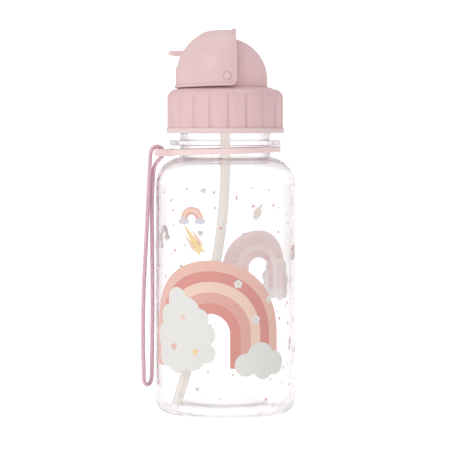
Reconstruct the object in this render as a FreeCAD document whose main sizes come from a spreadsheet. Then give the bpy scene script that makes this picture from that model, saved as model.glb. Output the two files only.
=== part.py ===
"""A child's clear drinking bottle with a screw cap, a flip hood, a straw and a carry cord.

Millimetres. +Z is up and the origin is the centre of the base, on the surface the bottle stands on.
The straw's mouthpiece folds towards -X, where the hood's thumb tab and the carry cord are too.
"""
import FreeCAD, Part
import math
import os
import re

import Sketcher

Vector = FreeCAD.Vector

SIZES = {
    # Bottle: wall, foot, shoulder, neck and support flange.
    "body_radius": 35.0,
    "wall": 1.5,
    "base_thickness": 1.8,
    "base_corner": 5.5,
    "foot_inner_radius": 24.5,
    "push_up_radius": 21.0,
    "push_up_height": 3.8,
    "shoulder_start": 114.3,
    "shoulder_radius": 14.0,
    "neck_radius": 22.7,
    "bore_radius": 21.0,
    "neck_top": 157.8,
    "flange_radius": 27.9,
    "flange_bottom": 134.0,
    "flange_thickness": 2.6,
    # The screw thread, outside the neck and inside the cap.
    "thread_pitch": 5.0,
    "thread_root": 3.0,
    "thread_crest": 1.6,
    "thread_bite": 0.1,
    "neck_thread_radius": 24.0,
    "neck_thread_start": 148.0,
    "neck_thread_turns": 1.0,
    "cap_thread_radius": 23.0,
    "cap_thread_start": 145.5,
    "cap_thread_turns": 0.75,
    # Sealing ring between the neck's rim and the cap.
    "gasket_outer_radius": 24.2,
    "gasket_thickness": 1.5,
    # Cap core: threaded skirt, deck, dome and the trough that the mouthpiece folds into.
    "skirt_bore_radius": 24.3,
    "skirt_radius": 26.8,
    "skirt_bottom": 141.0,
    "deck_thickness": 1.6,
    "deck_corner": 1.5,
    "dome_radius": 21.2,
    "dome_centre": 166.8,
    "dome_wall": 2.0,
    "trough_half_width": 6.5,
    "trough_back": 4.5,
    "trough_floor": 163.3,
    "boss_radius": 3.5,
    "boss_start": 17.0,
    "boss_end": 22.7,
    # Grip ring round the skirt.
    "grip_radius": 29.1,
    "grip_bottom": 140.1,
    "lip_radius": 29.6,
    "lip_height": 2.7,
    "crown_height": 162.9,
    "crown_bore_radius": 21.35,
    "crown_corner": 4.6,
    "crown_edge_radius": 25.38,
    "crown_edge_height": 162.11,
    "crown_arc_height": 157.6,
    "flute_count": 20,
    "flute_radius": 1.5,
    "flute_depth": 0.6,
    "flute_start": 142.8,
    "flute_angle": 92.0,
    # Flip hood: a part sphere centred on its hinge, cylindrical below it and flat on top.
    "pivot_height": 168.4,
    "hood_radius": 24.7,
    "hood_wall": 1.5,
    "hood_top": 191.8,
    "hood_top_wall": 1.4,
    "hood_bottom": 163.5,
    "hood_back": 5.0,
    "hood_corner": 3.4,
    "bead_width": 1.25,
    "bead_height": 0.8,
    "pad_radius": 25.1,
    "pad_half_width": 7.0,
    "pad_bottom": 163.6,
    "pad_top": 173.3,
    "tab_height": 180.2,
    "tab_thickness": 2.4,
    "tab_half_width": 6.0,
    "tab_tip": 28.6,
    "tab_corner": 3.0,
    # Hinge pins.
    "pin_radius": 1.5,
    "pin_clearance": 0.05,
    "pin_head_radius": 1.95,
    "pin_head_thickness": 0.8,
    "pin_head_gap": 0.1,
    "pin_inner_end": 17.5,
    # Silicone mouthpiece: a grommet through the trough floor and the tube that folds on it.
    "nipple_radius": 4.2,
    "nipple_bottom": 149.0,
    "grommet_radius": 7.0,
    "grommet_thickness": 1.5,
    "stem_radius": 4.5,
    "stem_top": 167.2,
    "fold_height": 171.0,
    "fold_ball_radius": 3.6,
    "mouth_radius": 3.5,
    "mouth_bore": 1.7,
    "mouth_length": 18.0,
    "mouth_closed_angle": 165.0,
    # Straw.
    "straw_radius": 2.45,
    "straw_bore": 1.7,
    "straw_top": 160.0,
    "straw_bend_start": 126.0,
    "straw_bend_radius": 230.0,
    "straw_bend_angle": 20.0,
    "straw_end_length": 44.5,
    "straw_heading": 212.2,
    # Air valve: a silicone plug with lips under the trough floor.
    "valve_place": -11.5,
    "valve_head_radius": 2.4,
    "valve_head_height": 0.7,
    "valve_stem_radius": 1.3,
    "valve_lip_radius": 1.9,
    "valve_length": 4.5,
    # Carry strap's moulded band and its eyelet tab.
    "band_inner_radius": 25.7,
    "band_outer_radius": 28.0,
    "band_height": 3.0,
    "band_level": 131.35,
    "band_tilt": -1.6,
    "eyelet_inner": 29.9,
    "eyelet_outer": 32.9,
    "eyelet_half_width": 2.2,
    "tab_end": 35.7,
    "strap_tab_height": 3.8,
    "strap_tab_half_width": 4.0,
    "bar_corner": 1.0,
    # Carry cord.
    "cord_diameter": 2.0,
}

# The carry cord's route, by hand: it starts under the eyelet, goes up through it and over the bar,
# hangs down outside, folds just above the ground and comes back up to where it started.
CORD_ROUTE = [
    (-32.78, 0.80, 127.41),
    (-31.16, 0.62, 129.10),
    (-31.16, 0.35, 131.70),
    (-33.00, 0.02, 133.54),
    (-35.60, -0.32, 133.52),
    (-37.44, -0.64, 131.68),
    (-37.80, -0.82, 127.50),
    (-38.12, -0.90, 120.50),
    (-38.80, -0.92, 107.50),
    (-39.80, -1.00, 87.00),
    (-41.45, -1.02, 56.00),
    (-41.55, -0.92, 31.00),
    (-41.25, -0.70, 20.50),
    (-41.20, -0.42, 14.75),
    (-39.10, 0.02, 13.54),
    (-37.00, 0.42, 14.75),
    (-37.12, 0.60, 19.80),
    (-37.08, 0.74, 27.50),
    (-36.82, 0.84, 38.50),
    (-36.62, 0.92, 56.00),
    (-36.82, 1.00, 88.00),
    (-36.95, 0.96, 105.50),
    (-36.50, 0.92, 115.50),
    (-36.12, 0.90, 120.50),
    (-35.60, 0.88, 124.50),
    (-32.92, 0.82, 127.27),
]
# A cord's corner is rounded over this share of its shorter run.
ARC_SHARE = 0.45
# How far a cut's volume may be from what it should be: as a share, and in flutes for the ring.
CUT_ALLOWANCE = 1e-3
FLUTE_ALLOWANCE = 0.1


# ---- The document and its sheet -------------------------------------------------------------

document = FreeCAD.newDocument("KidsWaterBottle")
sheet = document.addObject("Spreadsheet::Sheet", "Sizes")
for row, (alias, value) in enumerate(SIZES.items(), start=1):
    sheet.set("A%d" % row, alias)
    sheet.set("B%d" % row, str(value))
    sheet.setAlias("B%d" % row, alias)
document.recompute()


def number(expression):
    """The value, in millimetres or degrees, of an expression in the sheet's sizes."""
    return float(sheet.evalExpression(expression))


def bound(expression):
    """The same expression as another object writes it, with the sheet's name before each size."""

    def with_sheet(word):
        return "Sizes." + word.group() if word.group() in SIZES else word.group()

    return re.sub(r"[a-z_]+", with_sheet, expression)


def bind(thing, **properties):
    """Bind properties of an object to expressions; two underscores stand for a dot."""
    for name, expression in properties.items():
        thing.setExpression(name.replace("__", "."), bound(expression))


# ---- Sketches and PartDesign features -------------------------------------------------------

ORIGIN_POINT = (-1, 1)
ACROSS_AXIS = -1
UP_AXIS = -2


def new_body(label):
    """An empty PartDesign body."""
    body = document.addObject("PartDesign::Body", label)
    body.Label = label
    return body


def new_sketch(body, name, role, offset=None):
    """A sketch on one of the body's own origin planes, raised along its normal by an expression."""
    plane = [feature for feature in body.Origin.OriginFeatures if feature.Role == role][0]
    sketch = body.newObject("Sketcher::SketchObject", name)
    sketch.AttachmentSupport = [(plane, "")]
    sketch.MapMode = "FlatFace"
    if offset:
        bind(sketch, AttachmentOffset__Base__z=offset)
    return sketch


def pin_down(sketch, edge, end, across, up):
    """Hold one end of an edge at the place that two expressions give."""
    for kind, axis, expression in (("DistanceX", UP_AXIS, across), ("DistanceY", ACROSS_AXIS, up)):
        value = number(expression)
        if value == 0:
            sketch.addConstraint(Sketcher.Constraint("PointOnObject", edge, end, axis))
            continue
        held = sketch.addConstraint(Sketcher.Constraint(kind, *ORIGIN_POINT, edge, end, value))
        sketch.setExpression("Constraints[%d]" % held, bound(expression))


def arc_edge(start, end, turn, radius):
    """The minor arc between two points that turns left or right on its way."""
    chord = end - start
    rise = math.sqrt(radius**2 - (chord.Length / 2) ** 2)
    left = Vector(-chord.y, chord.x, 0).normalize()
    centre = (start + end) * 0.5 + left * (rise if turn == "left" else -rise)
    first, last = (start, end) if turn == "left" else (end, start)
    angles = [math.atan2(point.y - centre.y, point.x - centre.x) for point in (first, last)]
    circle = Part.Circle(centre, Vector(0, 0, 1), radius)
    return Part.ArcOfCircle(circle, *angles)


def draw_outline(sketch, corners):
    """A closed outline. A corner is (across, up), with (turn, radius) added where an arc leaves it."""
    places = [Vector(number(corner[0]), number(corner[1]), 0) for corner in corners]
    ends = []
    for here, corner in enumerate(corners):
        start, end = places[here], places[(here + 1) % len(corners)]
        if len(corner) == 2:
            edge = sketch.addGeometry(Part.LineSegment(start, end), False)
            ends.append((edge, 1, 2))
            continue
        turn, radius = corner[2], corner[3]
        edge = sketch.addGeometry(arc_edge(start, end, turn, number(radius)), False)
        ends.append((edge, 1, 2) if turn == "left" else (edge, 2, 1))
        held = sketch.addConstraint(Sketcher.Constraint("Radius", edge, number(radius)))
        sketch.setExpression("Constraints[%d]" % held, bound(radius))
    for here, (edge, start, end) in enumerate(ends):
        following, its_start, _ = ends[(here + 1) % len(ends)]
        sketch.addConstraint(Sketcher.Constraint("Coincident", edge, end, following, its_start))
        pin_down(sketch, edge, start, corners[here][0], corners[here][1])


def draw_circle(sketch, across, up, radius):
    """A circle whose centre and radius are bound to expressions."""
    centre = Vector(number(across), number(up), 0)
    edge = sketch.addGeometry(Part.Circle(centre, Vector(0, 0, 1), number(radius)), False)
    held = sketch.addConstraint(Sketcher.Constraint("Radius", edge, number(radius)))
    sketch.setExpression("Constraints[%d]" % held, bound(radius))
    pin_down(sketch, edge, 3, across, up)


def revolve(body, name, corners):
    """Turn an outline, drawn as (radius, height), once round the body's Z axis."""
    sketch = new_sketch(body, name + "_outline", "XZ_Plane")
    draw_outline(sketch, corners)
    feature = body.newObject("PartDesign::Revolution", name)
    feature.Profile = sketch
    feature.ReferenceAxis = (sketch, ["V_Axis"])
    feature.Angle = 360
    document.recompute()
    return feature


def pad(body, name, sketch, length, symmetric=False):
    """Extrude a sketch along its normal, or both ways from its plane."""
    feature = body.newObject("PartDesign::Pad", name)
    feature.Profile = sketch
    feature.SideType = "Symmetric" if symmetric else "One side"
    bind(feature, Length=length)
    document.recompute()
    return feature


def screw_thread(body, name, root_radius, crest_radius, start, turns):
    """A right-hand trapezoidal thread added to a body, from its root out or in to its crest."""
    sketch = new_sketch(body, name + "_section", "XZ_Plane")
    corners = [
        (root_radius, start + " - thread_root / 2"),
        (crest_radius, start + " - thread_crest / 2"),
        (crest_radius, start + " + thread_crest / 2"),
        (root_radius, start + " + thread_root / 2"),
    ]
    draw_outline(sketch, corners)
    feature = body.newObject("PartDesign::AdditiveHelix", name)
    feature.Profile = sketch
    feature.ReferenceAxis = (sketch, ["V_Axis"])
    feature.Mode = "pitch-height-angle"
    bind(feature, Pitch="thread_pitch", Height="thread_pitch * (%s)" % turns)
    feature.Angle = 0
    document.recompute()
    return feature


# ---- Part primitives and booleans -----------------------------------------------------------


def cylinder(name, radius, low, high, x="0"):
    """An upright cylinder between two heights, its axis at x."""
    solid = document.addObject("Part::Cylinder", name)
    bind(solid, Radius=radius, Height="(%s) - (%s)" % (high, low))
    bind(solid, Placement__Base__x=x, Placement__Base__z=low)
    return solid


def cross_cylinder(name, radius, start, length, height):
    """A cylinder along Y from start, at a height on the bottle's centre plane."""
    solid = document.addObject("Part::Cylinder", name)
    solid.Placement.Rotation = FreeCAD.Rotation(Vector(1, 0, 0), -90)
    bind(solid, Radius=radius, Height=length)
    bind(solid, Placement__Base__y=start, Placement__Base__z=height)
    return solid


def sphere(name, radius, height):
    """A ball on the bottle's axis."""
    solid = document.addObject("Part::Sphere", name)
    bind(solid, Radius=radius, Placement__Base__z=height)
    return solid


def block(name, x_low, x_high, half_width, z_low, z_high):
    """A box that lies evenly either side of the centre plane."""
    solid = document.addObject("Part::Box", name)
    bind(solid, Length="(%s) - (%s)" % (x_high, x_low), Width="2 * (%s)" % half_width)
    bind(solid, Height="(%s) - (%s)" % (z_high, z_low))
    bind(solid, Placement__Base__x=x_low, Placement__Base__y="-(%s)" % half_width)
    bind(solid, Placement__Base__z=z_low)
    return solid


def joined(name, shapes):
    """One solid made of several that overlap or meet."""
    fuse = document.addObject("Part::MultiFuse", name)
    fuse.Shapes = shapes
    fuse.Refine = True
    document.recompute()
    return fuse


def shared(name, base, tool):
    """The space that two solids have in common."""
    common = document.addObject("Part::Common", name)
    common.Base = base
    common.Tool = tool
    document.recompute()
    return common


def taken_from(name, base, tool):
    """A solid with another cut away; stops unless exactly what they share is gone."""
    cut = document.addObject("Part::Cut", name)
    cut.Base = base
    cut.Tool = tool
    document.recompute()
    overlap = base.Shape.common(tool.Shape).Volume
    if overlap <= 0 or abs(base.Shape.Volume - cut.Shape.Volume - overlap) > CUT_ALLOWANCE * overlap:
        raise RuntimeError(name + " isn't the cut it should be")
    return cut


# ---- Bottle ---------------------------------------------------------------------------------


def bottle_body():
    """The blown bottle: pushed-up base, straight wall, round shoulder, flange and threaded neck."""
    body = new_body("bottle_body")
    from_centre = "body_radius - shoulder_radius"
    shoulder_top = "shoulder_start + sqrt(shoulder_radius ^ 2 - (neck_radius - %s) ^ 2)"
    inner_top = "shoulder_start + shoulder_radius - wall"
    flange_top = "flange_bottom + flange_thickness"
    foot_radius = "body_radius - base_corner"
    inner_radius = "body_radius - wall"
    inner_corner = "base_corner - wall"
    corners = [
        ("0", "push_up_height"),
        ("push_up_radius", "push_up_height"),
        ("foot_inner_radius", "0"),
        (foot_radius, "0", "left", "base_corner"),
        ("body_radius", "base_corner"),
        ("body_radius", "shoulder_start", "left", "shoulder_radius"),
        ("neck_radius", shoulder_top % ("(" + from_centre + ")")),
        ("neck_radius", "flange_bottom"),
        ("flange_radius", "flange_bottom"),
        ("flange_radius", flange_top),
        ("neck_radius", flange_top),
        ("neck_radius", "neck_top"),
        ("bore_radius", "neck_top"),
        ("bore_radius", inner_top, "right", "shoulder_radius - wall"),
        (inner_radius, "shoulder_start"),
        (inner_radius, "base_thickness + " + inner_corner, "right", inner_corner),
        (foot_radius, "base_thickness"),
        ("foot_inner_radius", "base_thickness"),
        ("push_up_radius", "push_up_height + base_thickness"),
        ("0", "push_up_height + base_thickness"),
    ]
    revolve(body, "bottle_wall", corners)
    screw_thread(
        body,
        "neck_thread",
        "neck_radius - thread_bite",
        "neck_thread_radius",
        "neck_thread_start",
        "neck_thread_turns",
    )
    return body


def cap_gasket():
    """The flat sealing ring on the neck's rim."""
    body = new_body("cap_gasket")
    top = "neck_top + gasket_thickness"
    corners = [
        ("bore_radius", "neck_top"),
        ("gasket_outer_radius", "neck_top"),
        ("gasket_outer_radius", top),
        ("bore_radius", top),
    ]
    revolve(body, "sealing_ring", corners)
    return body


# ---- Cap ------------------------------------------------------------------------------------

DECK_BOTTOM = "neck_top + gasket_thickness"
DECK_TOP = "neck_top + gasket_thickness + deck_thickness"
TROUGH_UNDERSIDE = "trough_floor - dome_wall"


def cap_core():
    """Threaded skirt, deck and dome, with an open trough, two hinge bosses and two floor holes."""
    shell = new_body("cap_shell")
    deck_rim = "skirt_radius - deck_corner"
    deck_edge = "%s - deck_corner" % DECK_TOP
    dome_top = "dome_centre + dome_radius"
    corners = [
        ("skirt_bore_radius", "skirt_bottom"),
        ("skirt_radius", "skirt_bottom"),
        ("skirt_radius", deck_edge),
        (deck_rim, DECK_TOP),
        ("dome_radius", DECK_TOP),
        ("dome_radius", "dome_centre", "left", "dome_radius"),
        ("0", dome_top),
        ("0", DECK_BOTTOM),
        ("skirt_bore_radius", DECK_BOTTOM),
    ]
    revolve(shell, "skirt_deck_and_dome", corners)
    screw_thread(
        shell,
        "cap_thread",
        "skirt_bore_radius + thread_bite",
        "cap_thread_radius",
        "cap_thread_start",
        "cap_thread_turns",
    )
    inside_dome = "dome_radius - dome_wall"
    ball = sphere("dome_ball", inside_dome, "dome_centre")
    drum = cylinder("dome_drum", inside_dome, DECK_BOTTOM + " - dome_wall", "dome_centre")
    space = joined("dome_space", [ball, drum])
    above = dome_top + " + dome_wall"
    tub_width = "trough_half_width + dome_wall"
    tub_back = "trough_back + dome_wall"
    tub = block("tub", "-dome_radius", tub_back, tub_width, TROUGH_UNDERSIDE, above)
    hollowed = taken_from("hollow_dome", shell, taken_from("space_round_tub", space, tub))
    trough_end = "-dome_radius - dome_wall"
    trough = block("trough", trough_end, "trough_back", "trough_half_width", "trough_floor", above)
    open_dome = taken_from("open_dome", hollowed, trough)
    bosses = []
    holes = []
    boss_length = "boss_end - boss_start"
    hole_length = "boss_end - pin_inner_end"
    height = "pivot_height"
    for side, boss_start, hole_start in (
        ("near", "-boss_end", "-boss_end"),
        ("far", "boss_start", "pin_inner_end"),
    ):
        bosses.append(cross_cylinder("boss_" + side, "boss_radius", boss_start, boss_length, height))
        holes.append(cross_cylinder("pin_hole_" + side, "pin_radius", hole_start, hole_length, height))
    floor = (TROUGH_UNDERSIDE, "trough_floor")
    holes.append(cylinder("stem_hole", "stem_radius", *floor))
    holes.append(cylinder("valve_hole", "valve_stem_radius", *floor, "valve_place"))
    solid = joined("cap_solid", [open_dome] + bosses)
    for hole in holes:
        solid = taken_from("cap_less_" + hole.Label, solid, hole)
    solid.Label = "cap_core"
    return solid


def cap_grip_ring():
    """The outer ring: a lip, upright flutes that run out through a round crown."""
    body = new_body("cap_grip_ring")
    lip_top = "grip_bottom + lip_height"
    deck_rim = "skirt_radius - deck_corner"
    deck_edge = "%s - deck_corner" % DECK_TOP
    corners = [
        ("skirt_radius", "grip_bottom"),
        ("lip_radius", "grip_bottom"),
        ("lip_radius", lip_top),
        ("grip_radius", lip_top),
        ("grip_radius", "crown_arc_height", "left", "crown_corner"),
        ("crown_edge_radius", "crown_edge_height"),
        ("crown_bore_radius", "crown_height"),
        ("crown_bore_radius", DECK_TOP),
        (deck_rim, DECK_TOP),
        ("skirt_radius", deck_edge),
    ]
    revolve(body, "ring", corners)
    whole = body.Shape.Volume
    sketch = new_sketch(body, "flute_section", "XY_Plane", "flute_start")
    reach = "(grip_radius + flute_radius - flute_depth)"
    draw_circle(sketch, reach + " * cos(flute_angle)", reach + " * sin(flute_angle)", "flute_radius")
    flute = body.newObject("PartDesign::Pocket", "flute")
    flute.Profile = sketch
    flute.Reversed = True
    bind(flute, Length="crown_height - flute_start")
    document.recompute()
    one_flute = whole - body.Shape.Volume
    pattern = body.newObject("PartDesign::PolarPattern", "flutes")
    pattern.Originals = [flute]
    pattern.Axis = (sketch, ["N_Axis"])
    bind(pattern, Occurrences="flute_count")
    body.Tip = pattern
    document.recompute()
    cut_away = whole - body.Shape.Volume
    if one_flute <= 0 or abs(cut_away / one_flute - SIZES["flute_count"]) > FLUTE_ALLOWANCE:
        raise RuntimeError("the flutes aren't all cut")
    return body


# ---- Flip hood and its pins -----------------------------------------------------------------


def hood_space(name, radius, top):
    """Everything within a radius of the hinge's centre, cylindrical below it and flat on top."""
    ball = sphere(name + "_ball", radius, "pivot_height")
    drum = cylinder(name + "_drum", radius, "hood_bottom", "pivot_height")
    whole = joined(name + "_whole", [ball, drum])
    limit = cylinder(name + "_limit", "2 * hood_radius", "hood_bottom", top)
    return shared(name, whole, limit)


def hood_side(name, inset):
    """A prism across the bottle that keeps what lies ahead of the hood's back edge."""
    body = new_body(name)
    sketch = new_sketch(body, name + "_outline", "XZ_Plane")
    front = "-2 * hood_radius"
    above = "hood_top + hood_radius"
    back = "hood_back - " + inset
    bottom = "hood_bottom + " + inset
    corner = "(hood_corner - %s)" % inset
    corners = [
        (front, bottom),
        ("%s - %s" % (back, corner), bottom, "left", corner),
        (back, "%s + %s" % (bottom, corner)),
        (back, above),
        (front, above),
    ]
    draw_outline(sketch, corners)
    pad(body, name + "_prism", sketch, "4 * hood_radius", symmetric=True)
    return body


def flip_hood():
    """The hood's shell, the bead along its free edge, the pad in front and the thumb tab."""
    outer = hood_space("hood_outer", "hood_radius", "hood_top")
    bead_outer = hood_space("bead_outer", "hood_radius + bead_height", "hood_top + bead_height")
    hollow = hood_space("hood_hollow", "hood_radius - hood_wall", "hood_top - hood_top_wall")
    side = hood_side("hood_side", "0")
    shell = shared("hood_shell", outer, side)
    whole_bead = shared("bead_side", bead_outer, hood_side("bead_limit", "0"))
    bead = taken_from("edge_bead", whole_bead, hood_side("bead_inner_side", "bead_width"))
    pad_drum = cylinder("pad_drum", "pad_radius", "pad_bottom", "pad_top")
    pad_front = "-pad_radius - hood_wall"
    pad_back = "-hood_radius + 2 * hood_wall"
    pad_block = block("pad_block", pad_front, pad_back, "pad_half_width", "pad_bottom", "pad_top")
    front_pad = shared("front_pad", pad_drum, pad_block)
    tab = new_body("thumb_tab")
    sketch = new_sketch(tab, "tab_outline", "XY_Plane", "tab_height - tab_thickness / 2")
    rounding = "tab_tip - tab_corner"
    straight = "tab_half_width - tab_corner"
    corners = [
        ("-hood_radius / 2", "tab_half_width"),
        ("-(%s)" % rounding, "tab_half_width", "left", "tab_corner"),
        ("-tab_tip", straight),
        ("-tab_tip", "-(%s)" % straight, "left", "tab_corner"),
        ("-(%s)" % rounding, "-tab_half_width"),
        ("-hood_radius / 2", "-tab_half_width"),
    ]
    draw_outline(sketch, corners)
    pad(tab, "tab_plate", sketch, "tab_thickness")
    solid = joined("hood_solid", [shell, bead, front_pad, tab])
    opened = taken_from("hood_open", solid, hollow)
    bores = []
    seat = "hood_radius - pin_head_thickness"
    depth = "pin_head_thickness + bead_height"
    hole = "pin_radius + pin_clearance"
    recess = "pin_head_radius + 2 * pin_clearance"
    length = "hood_wall + 2 * bead_height"
    wall_start = "hood_radius - hood_wall - bead_height"
    height = "pivot_height"
    for side_name, hole_start, recess_start in (
        ("near", "-(%s) - (%s)" % (wall_start, length), "-(%s) - (%s)" % (seat, depth)),
        ("far", wall_start, seat),
    ):
        bores.append(cross_cylinder("hinge_hole_" + side_name, hole, hole_start, length, height))
        bores.append(cross_cylinder("head_recess_" + side_name, recess, recess_start, depth, height))
    return taken_from("flip_hood", opened, joined("hood_bores", bores))


def hinge_pin(label, facing):
    """A headed pin that the hood turns on, pressed into one of the cap's bosses."""
    body = new_body(label)
    seat = "hood_radius - pin_head_thickness + pin_head_gap"
    rim = "hood_radius - pin_head_gap"
    corners = [
        ("0", "pin_inner_end"),
        ("pin_radius", "pin_inner_end"),
        ("pin_radius", seat),
        ("pin_head_radius", seat),
        ("pin_head_radius", rim),
        ("pin_radius", "hood_radius"),
        ("0", "hood_radius"),
    ]
    revolve(body, label + "_turned", corners)
    body.Placement.Rotation = FreeCAD.Rotation(Vector(1, 0, 0), -90 * facing)
    bind(body, Placement__Base__z="pivot_height")
    document.recompute()
    return body


# ---- Mouthpiece, straw and valve ------------------------------------------------------------


def spout_base():
    """The silicone grommet: a nipple round the straw, a flange under the floor and a stem through it."""
    body = new_body("spout_base")
    flange_bottom = "%s - grommet_thickness" % TROUGH_UNDERSIDE
    corners = [
        ("straw_radius", "nipple_bottom"),
        ("nipple_radius", "nipple_bottom"),
        ("nipple_radius", flange_bottom),
        ("grommet_radius", flange_bottom),
        ("grommet_radius", TROUGH_UNDERSIDE),
        ("stem_radius", TROUGH_UNDERSIDE),
        ("stem_radius", "trough_floor"),
        ("nipple_radius", "trough_floor"),
        ("nipple_radius", "stem_top"),
        ("mouth_bore", "stem_top"),
        ("mouth_bore", "straw_top"),
        ("straw_radius", "straw_top"),
    ]
    revolve(body, "grommet", corners)
    return body


def spout_tube():
    """The mouthpiece: a round knuckle over the grommet and a tube lying in the trough."""
    body = new_body("spout_tube")
    foot = "sqrt(fold_ball_radius ^ 2 - mouth_bore ^ 2)"
    meet = "sqrt(fold_ball_radius ^ 2 - mouth_radius ^ 2)"
    corners = [
        ("mouth_bore", "-(%s)" % foot, "left", "fold_ball_radius"),
        ("mouth_radius", meet),
        ("mouth_radius", "mouth_length"),
        ("mouth_bore", "mouth_length"),
    ]
    revolve(body, "mouthpiece", corners)
    tilt = 90.0 - SIZES["mouth_closed_angle"]
    body.Placement.Rotation = FreeCAD.Rotation(Vector(0, 1, 0), tilt)
    bind(body, Placement__Base__z="fold_height")
    document.recompute()
    return body


def straw():
    """The straw: straight down from the grommet, one long bend, then straight to the bottom corner."""
    body = new_body("straw")
    path = new_sketch(body, "straw_line", "XZ_Plane")
    bend_x = "straw_bend_radius * (1 - cos(straw_bend_angle))"
    bend_z = "straw_bend_start - straw_bend_radius * sin(straw_bend_angle)"
    end_x = "%s + straw_end_length * sin(straw_bend_angle)" % bend_x
    end_z = "%s - straw_end_length * cos(straw_bend_angle)" % bend_z
    stations = [("0", "straw_top"), ("0", "straw_bend_start"), (bend_x, bend_z), (end_x, end_z)]
    places = [Vector(number(x), number(z), 0) for x, z in stations]
    path.addGeometry(Part.LineSegment(places[0], places[1]), False)
    path.addGeometry(arc_edge(places[1], places[2], "left", number("straw_bend_radius")), False)
    path.addGeometry(Part.LineSegment(places[2], places[3]), False)
    for edge in range(2):
        path.addConstraint(Sketcher.Constraint("Coincident", edge, 2, edge + 1, 1))
    for edge in range(3):
        pin_down(path, edge, 1, *stations[edge])
    pin_down(path, 2, 2, *stations[3])
    held = path.addConstraint(Sketcher.Constraint("Radius", 1, number("straw_bend_radius")))
    path.setExpression("Constraints[%d]" % held, bound("straw_bend_radius"))
    section = new_sketch(body, "straw_section", "XY_Plane", "straw_top")
    draw_circle(section, "0", "0", "straw_radius")
    draw_circle(section, "0", "0", "straw_bore")
    pipe = body.newObject("PartDesign::AdditivePipe", "straw_pipe")
    pipe.Profile = section
    pipe.Spine = (path, ["Edge1", "Edge2", "Edge3"])
    body.Placement.Rotation = FreeCAD.Rotation(Vector(0, 0, 1), SIZES["straw_heading"])
    document.recompute()
    return body


def air_valve():
    """A small plug in the trough floor whose lips open inwards."""
    body = new_body("air_valve")
    lip_top = "%s - valve_head_height" % TROUGH_UNDERSIDE
    corners = [
        ("0", "trough_floor - valve_length"),
        ("valve_stem_radius / 2", "trough_floor - valve_length"),
        ("valve_lip_radius", lip_top),
        ("valve_lip_radius", TROUGH_UNDERSIDE),
        ("valve_stem_radius", TROUGH_UNDERSIDE),
        ("valve_stem_radius", "trough_floor"),
        ("valve_head_radius", "trough_floor"),
        ("valve_stem_radius", "trough_floor + valve_head_height"),
        ("0", "trough_floor + valve_head_height"),
    ]
    revolve(body, "valve_plug", corners)
    bind(body, Placement__Base__x="valve_place")
    document.recompute()
    return body


# ---- Carry strap ----------------------------------------------------------------------------


def strap_band():
    """The moulded band round the neck, with the tab, the eyelet and the bar the cord hangs on."""
    body = new_body("strap_band")
    half = "band_height / 2"
    corners = [
        ("band_inner_radius", "-(%s)" % half),
        ("band_outer_radius", "-(%s)" % half),
        ("band_outer_radius", half),
        ("band_inner_radius", half),
    ]
    revolve(body, "band", corners)
    plan = new_sketch(body, "cheeks_plan", "XY_Plane")
    root = "-sqrt(band_inner_radius ^ 2 - strap_tab_half_width ^ 2) - bar_corner"
    bar_middle = "-(eyelet_outer + tab_end) / 2"
    wide, narrow = "strap_tab_half_width", "eyelet_half_width"
    corners = [
        (root, wide),
        (bar_middle, wide),
        (bar_middle, narrow),
        ("-eyelet_inner", narrow),
        ("-eyelet_inner", "-" + narrow),
        (bar_middle, "-" + narrow),
        (bar_middle, "-" + wide),
        (root, "-" + wide),
    ]
    draw_outline(plan, corners)
    pad(body, "cheeks", plan, "strap_tab_height", symmetric=True)
    section = new_sketch(body, "bar_section", "XZ_Plane")
    top, low = "strap_tab_height / 2", "-strap_tab_height / 2"
    inner_top, inner_low = top + " - bar_corner", low + " + bar_corner"
    left, right = "-tab_end", "-eyelet_outer"
    inner_left, inner_right = left + " + bar_corner", right + " - bar_corner"
    corners = [
        (inner_left, low),
        (inner_right, low, "left", "bar_corner"),
        (right, inner_low),
        (right, inner_top, "left", "bar_corner"),
        (inner_right, top),
        (inner_left, top, "left", "bar_corner"),
        (left, inner_top),
        (left, inner_low, "left", "bar_corner"),
    ]
    draw_outline(section, corners)
    pad(body, "bar", section, "2 * strap_tab_half_width", symmetric=True)
    body.Placement.Rotation = FreeCAD.Rotation(Vector(0, 1, 0), SIZES["band_tilt"])
    bind(body, Placement__Base__z="band_level")
    document.recompute()
    return body


def rounded_route(points):
    """Straight runs joined by tangent arcs, each as large as its two runs allow."""
    edges = []
    radii = []
    reached = points[0]
    for before, corner, after in zip(points, points[1:], points[2:]):
        arriving = (corner - before).normalize()
        leaving = (after - corner).normalize()
        half_turn = arriving.getAngle(leaving) / 2
        setback = ARC_SHARE * min((corner - before).Length, (after - corner).Length)
        radius = setback / math.tan(half_turn)
        start = corner - arriving * setback
        end = corner + leaving * setback
        inward = (leaving - arriving).normalize()
        middle = corner + inward * radius * (1 / math.cos(half_turn) - 1)
        edges.append(Part.LineSegment(reached, start).toShape())
        edges.append(Part.Arc(start, middle, end).toShape())
        radii.append(radius)
        reached = end
    edges.append(Part.LineSegment(reached, points[-1]).toShape())
    return Part.Wire(edges), radii


def strap_cord():
    """The carry cord, one tube along its route; the two ends meet under the eyelet."""
    points = [Vector(*place) for place in CORD_ROUTE]
    route, radii = rounded_route(points)
    radius = number("cord_diameter / 2")
    heading = (points[1] - points[0]).normalize()
    section = Part.Wire([Part.Circle(points[0], heading, radius).toShape()])
    shape = route.makePipeShell([section], True, False)
    expected = math.pi * radius**2 * route.Length
    print("cord length %.1f, arc radii" % route.Length, [round(value, 2) for value in radii])
    print("cord volume %.1f, expected %.1f" % (shape.Volume, expected))
    solid = document.addObject("Part::Feature", "strap_cord")
    solid.Label = "strap_cord"
    solid.Shape = shape
    solid.Placement = FreeCAD.Placement()
    return solid


# ---- Build, check and write -----------------------------------------------------------------


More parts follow.
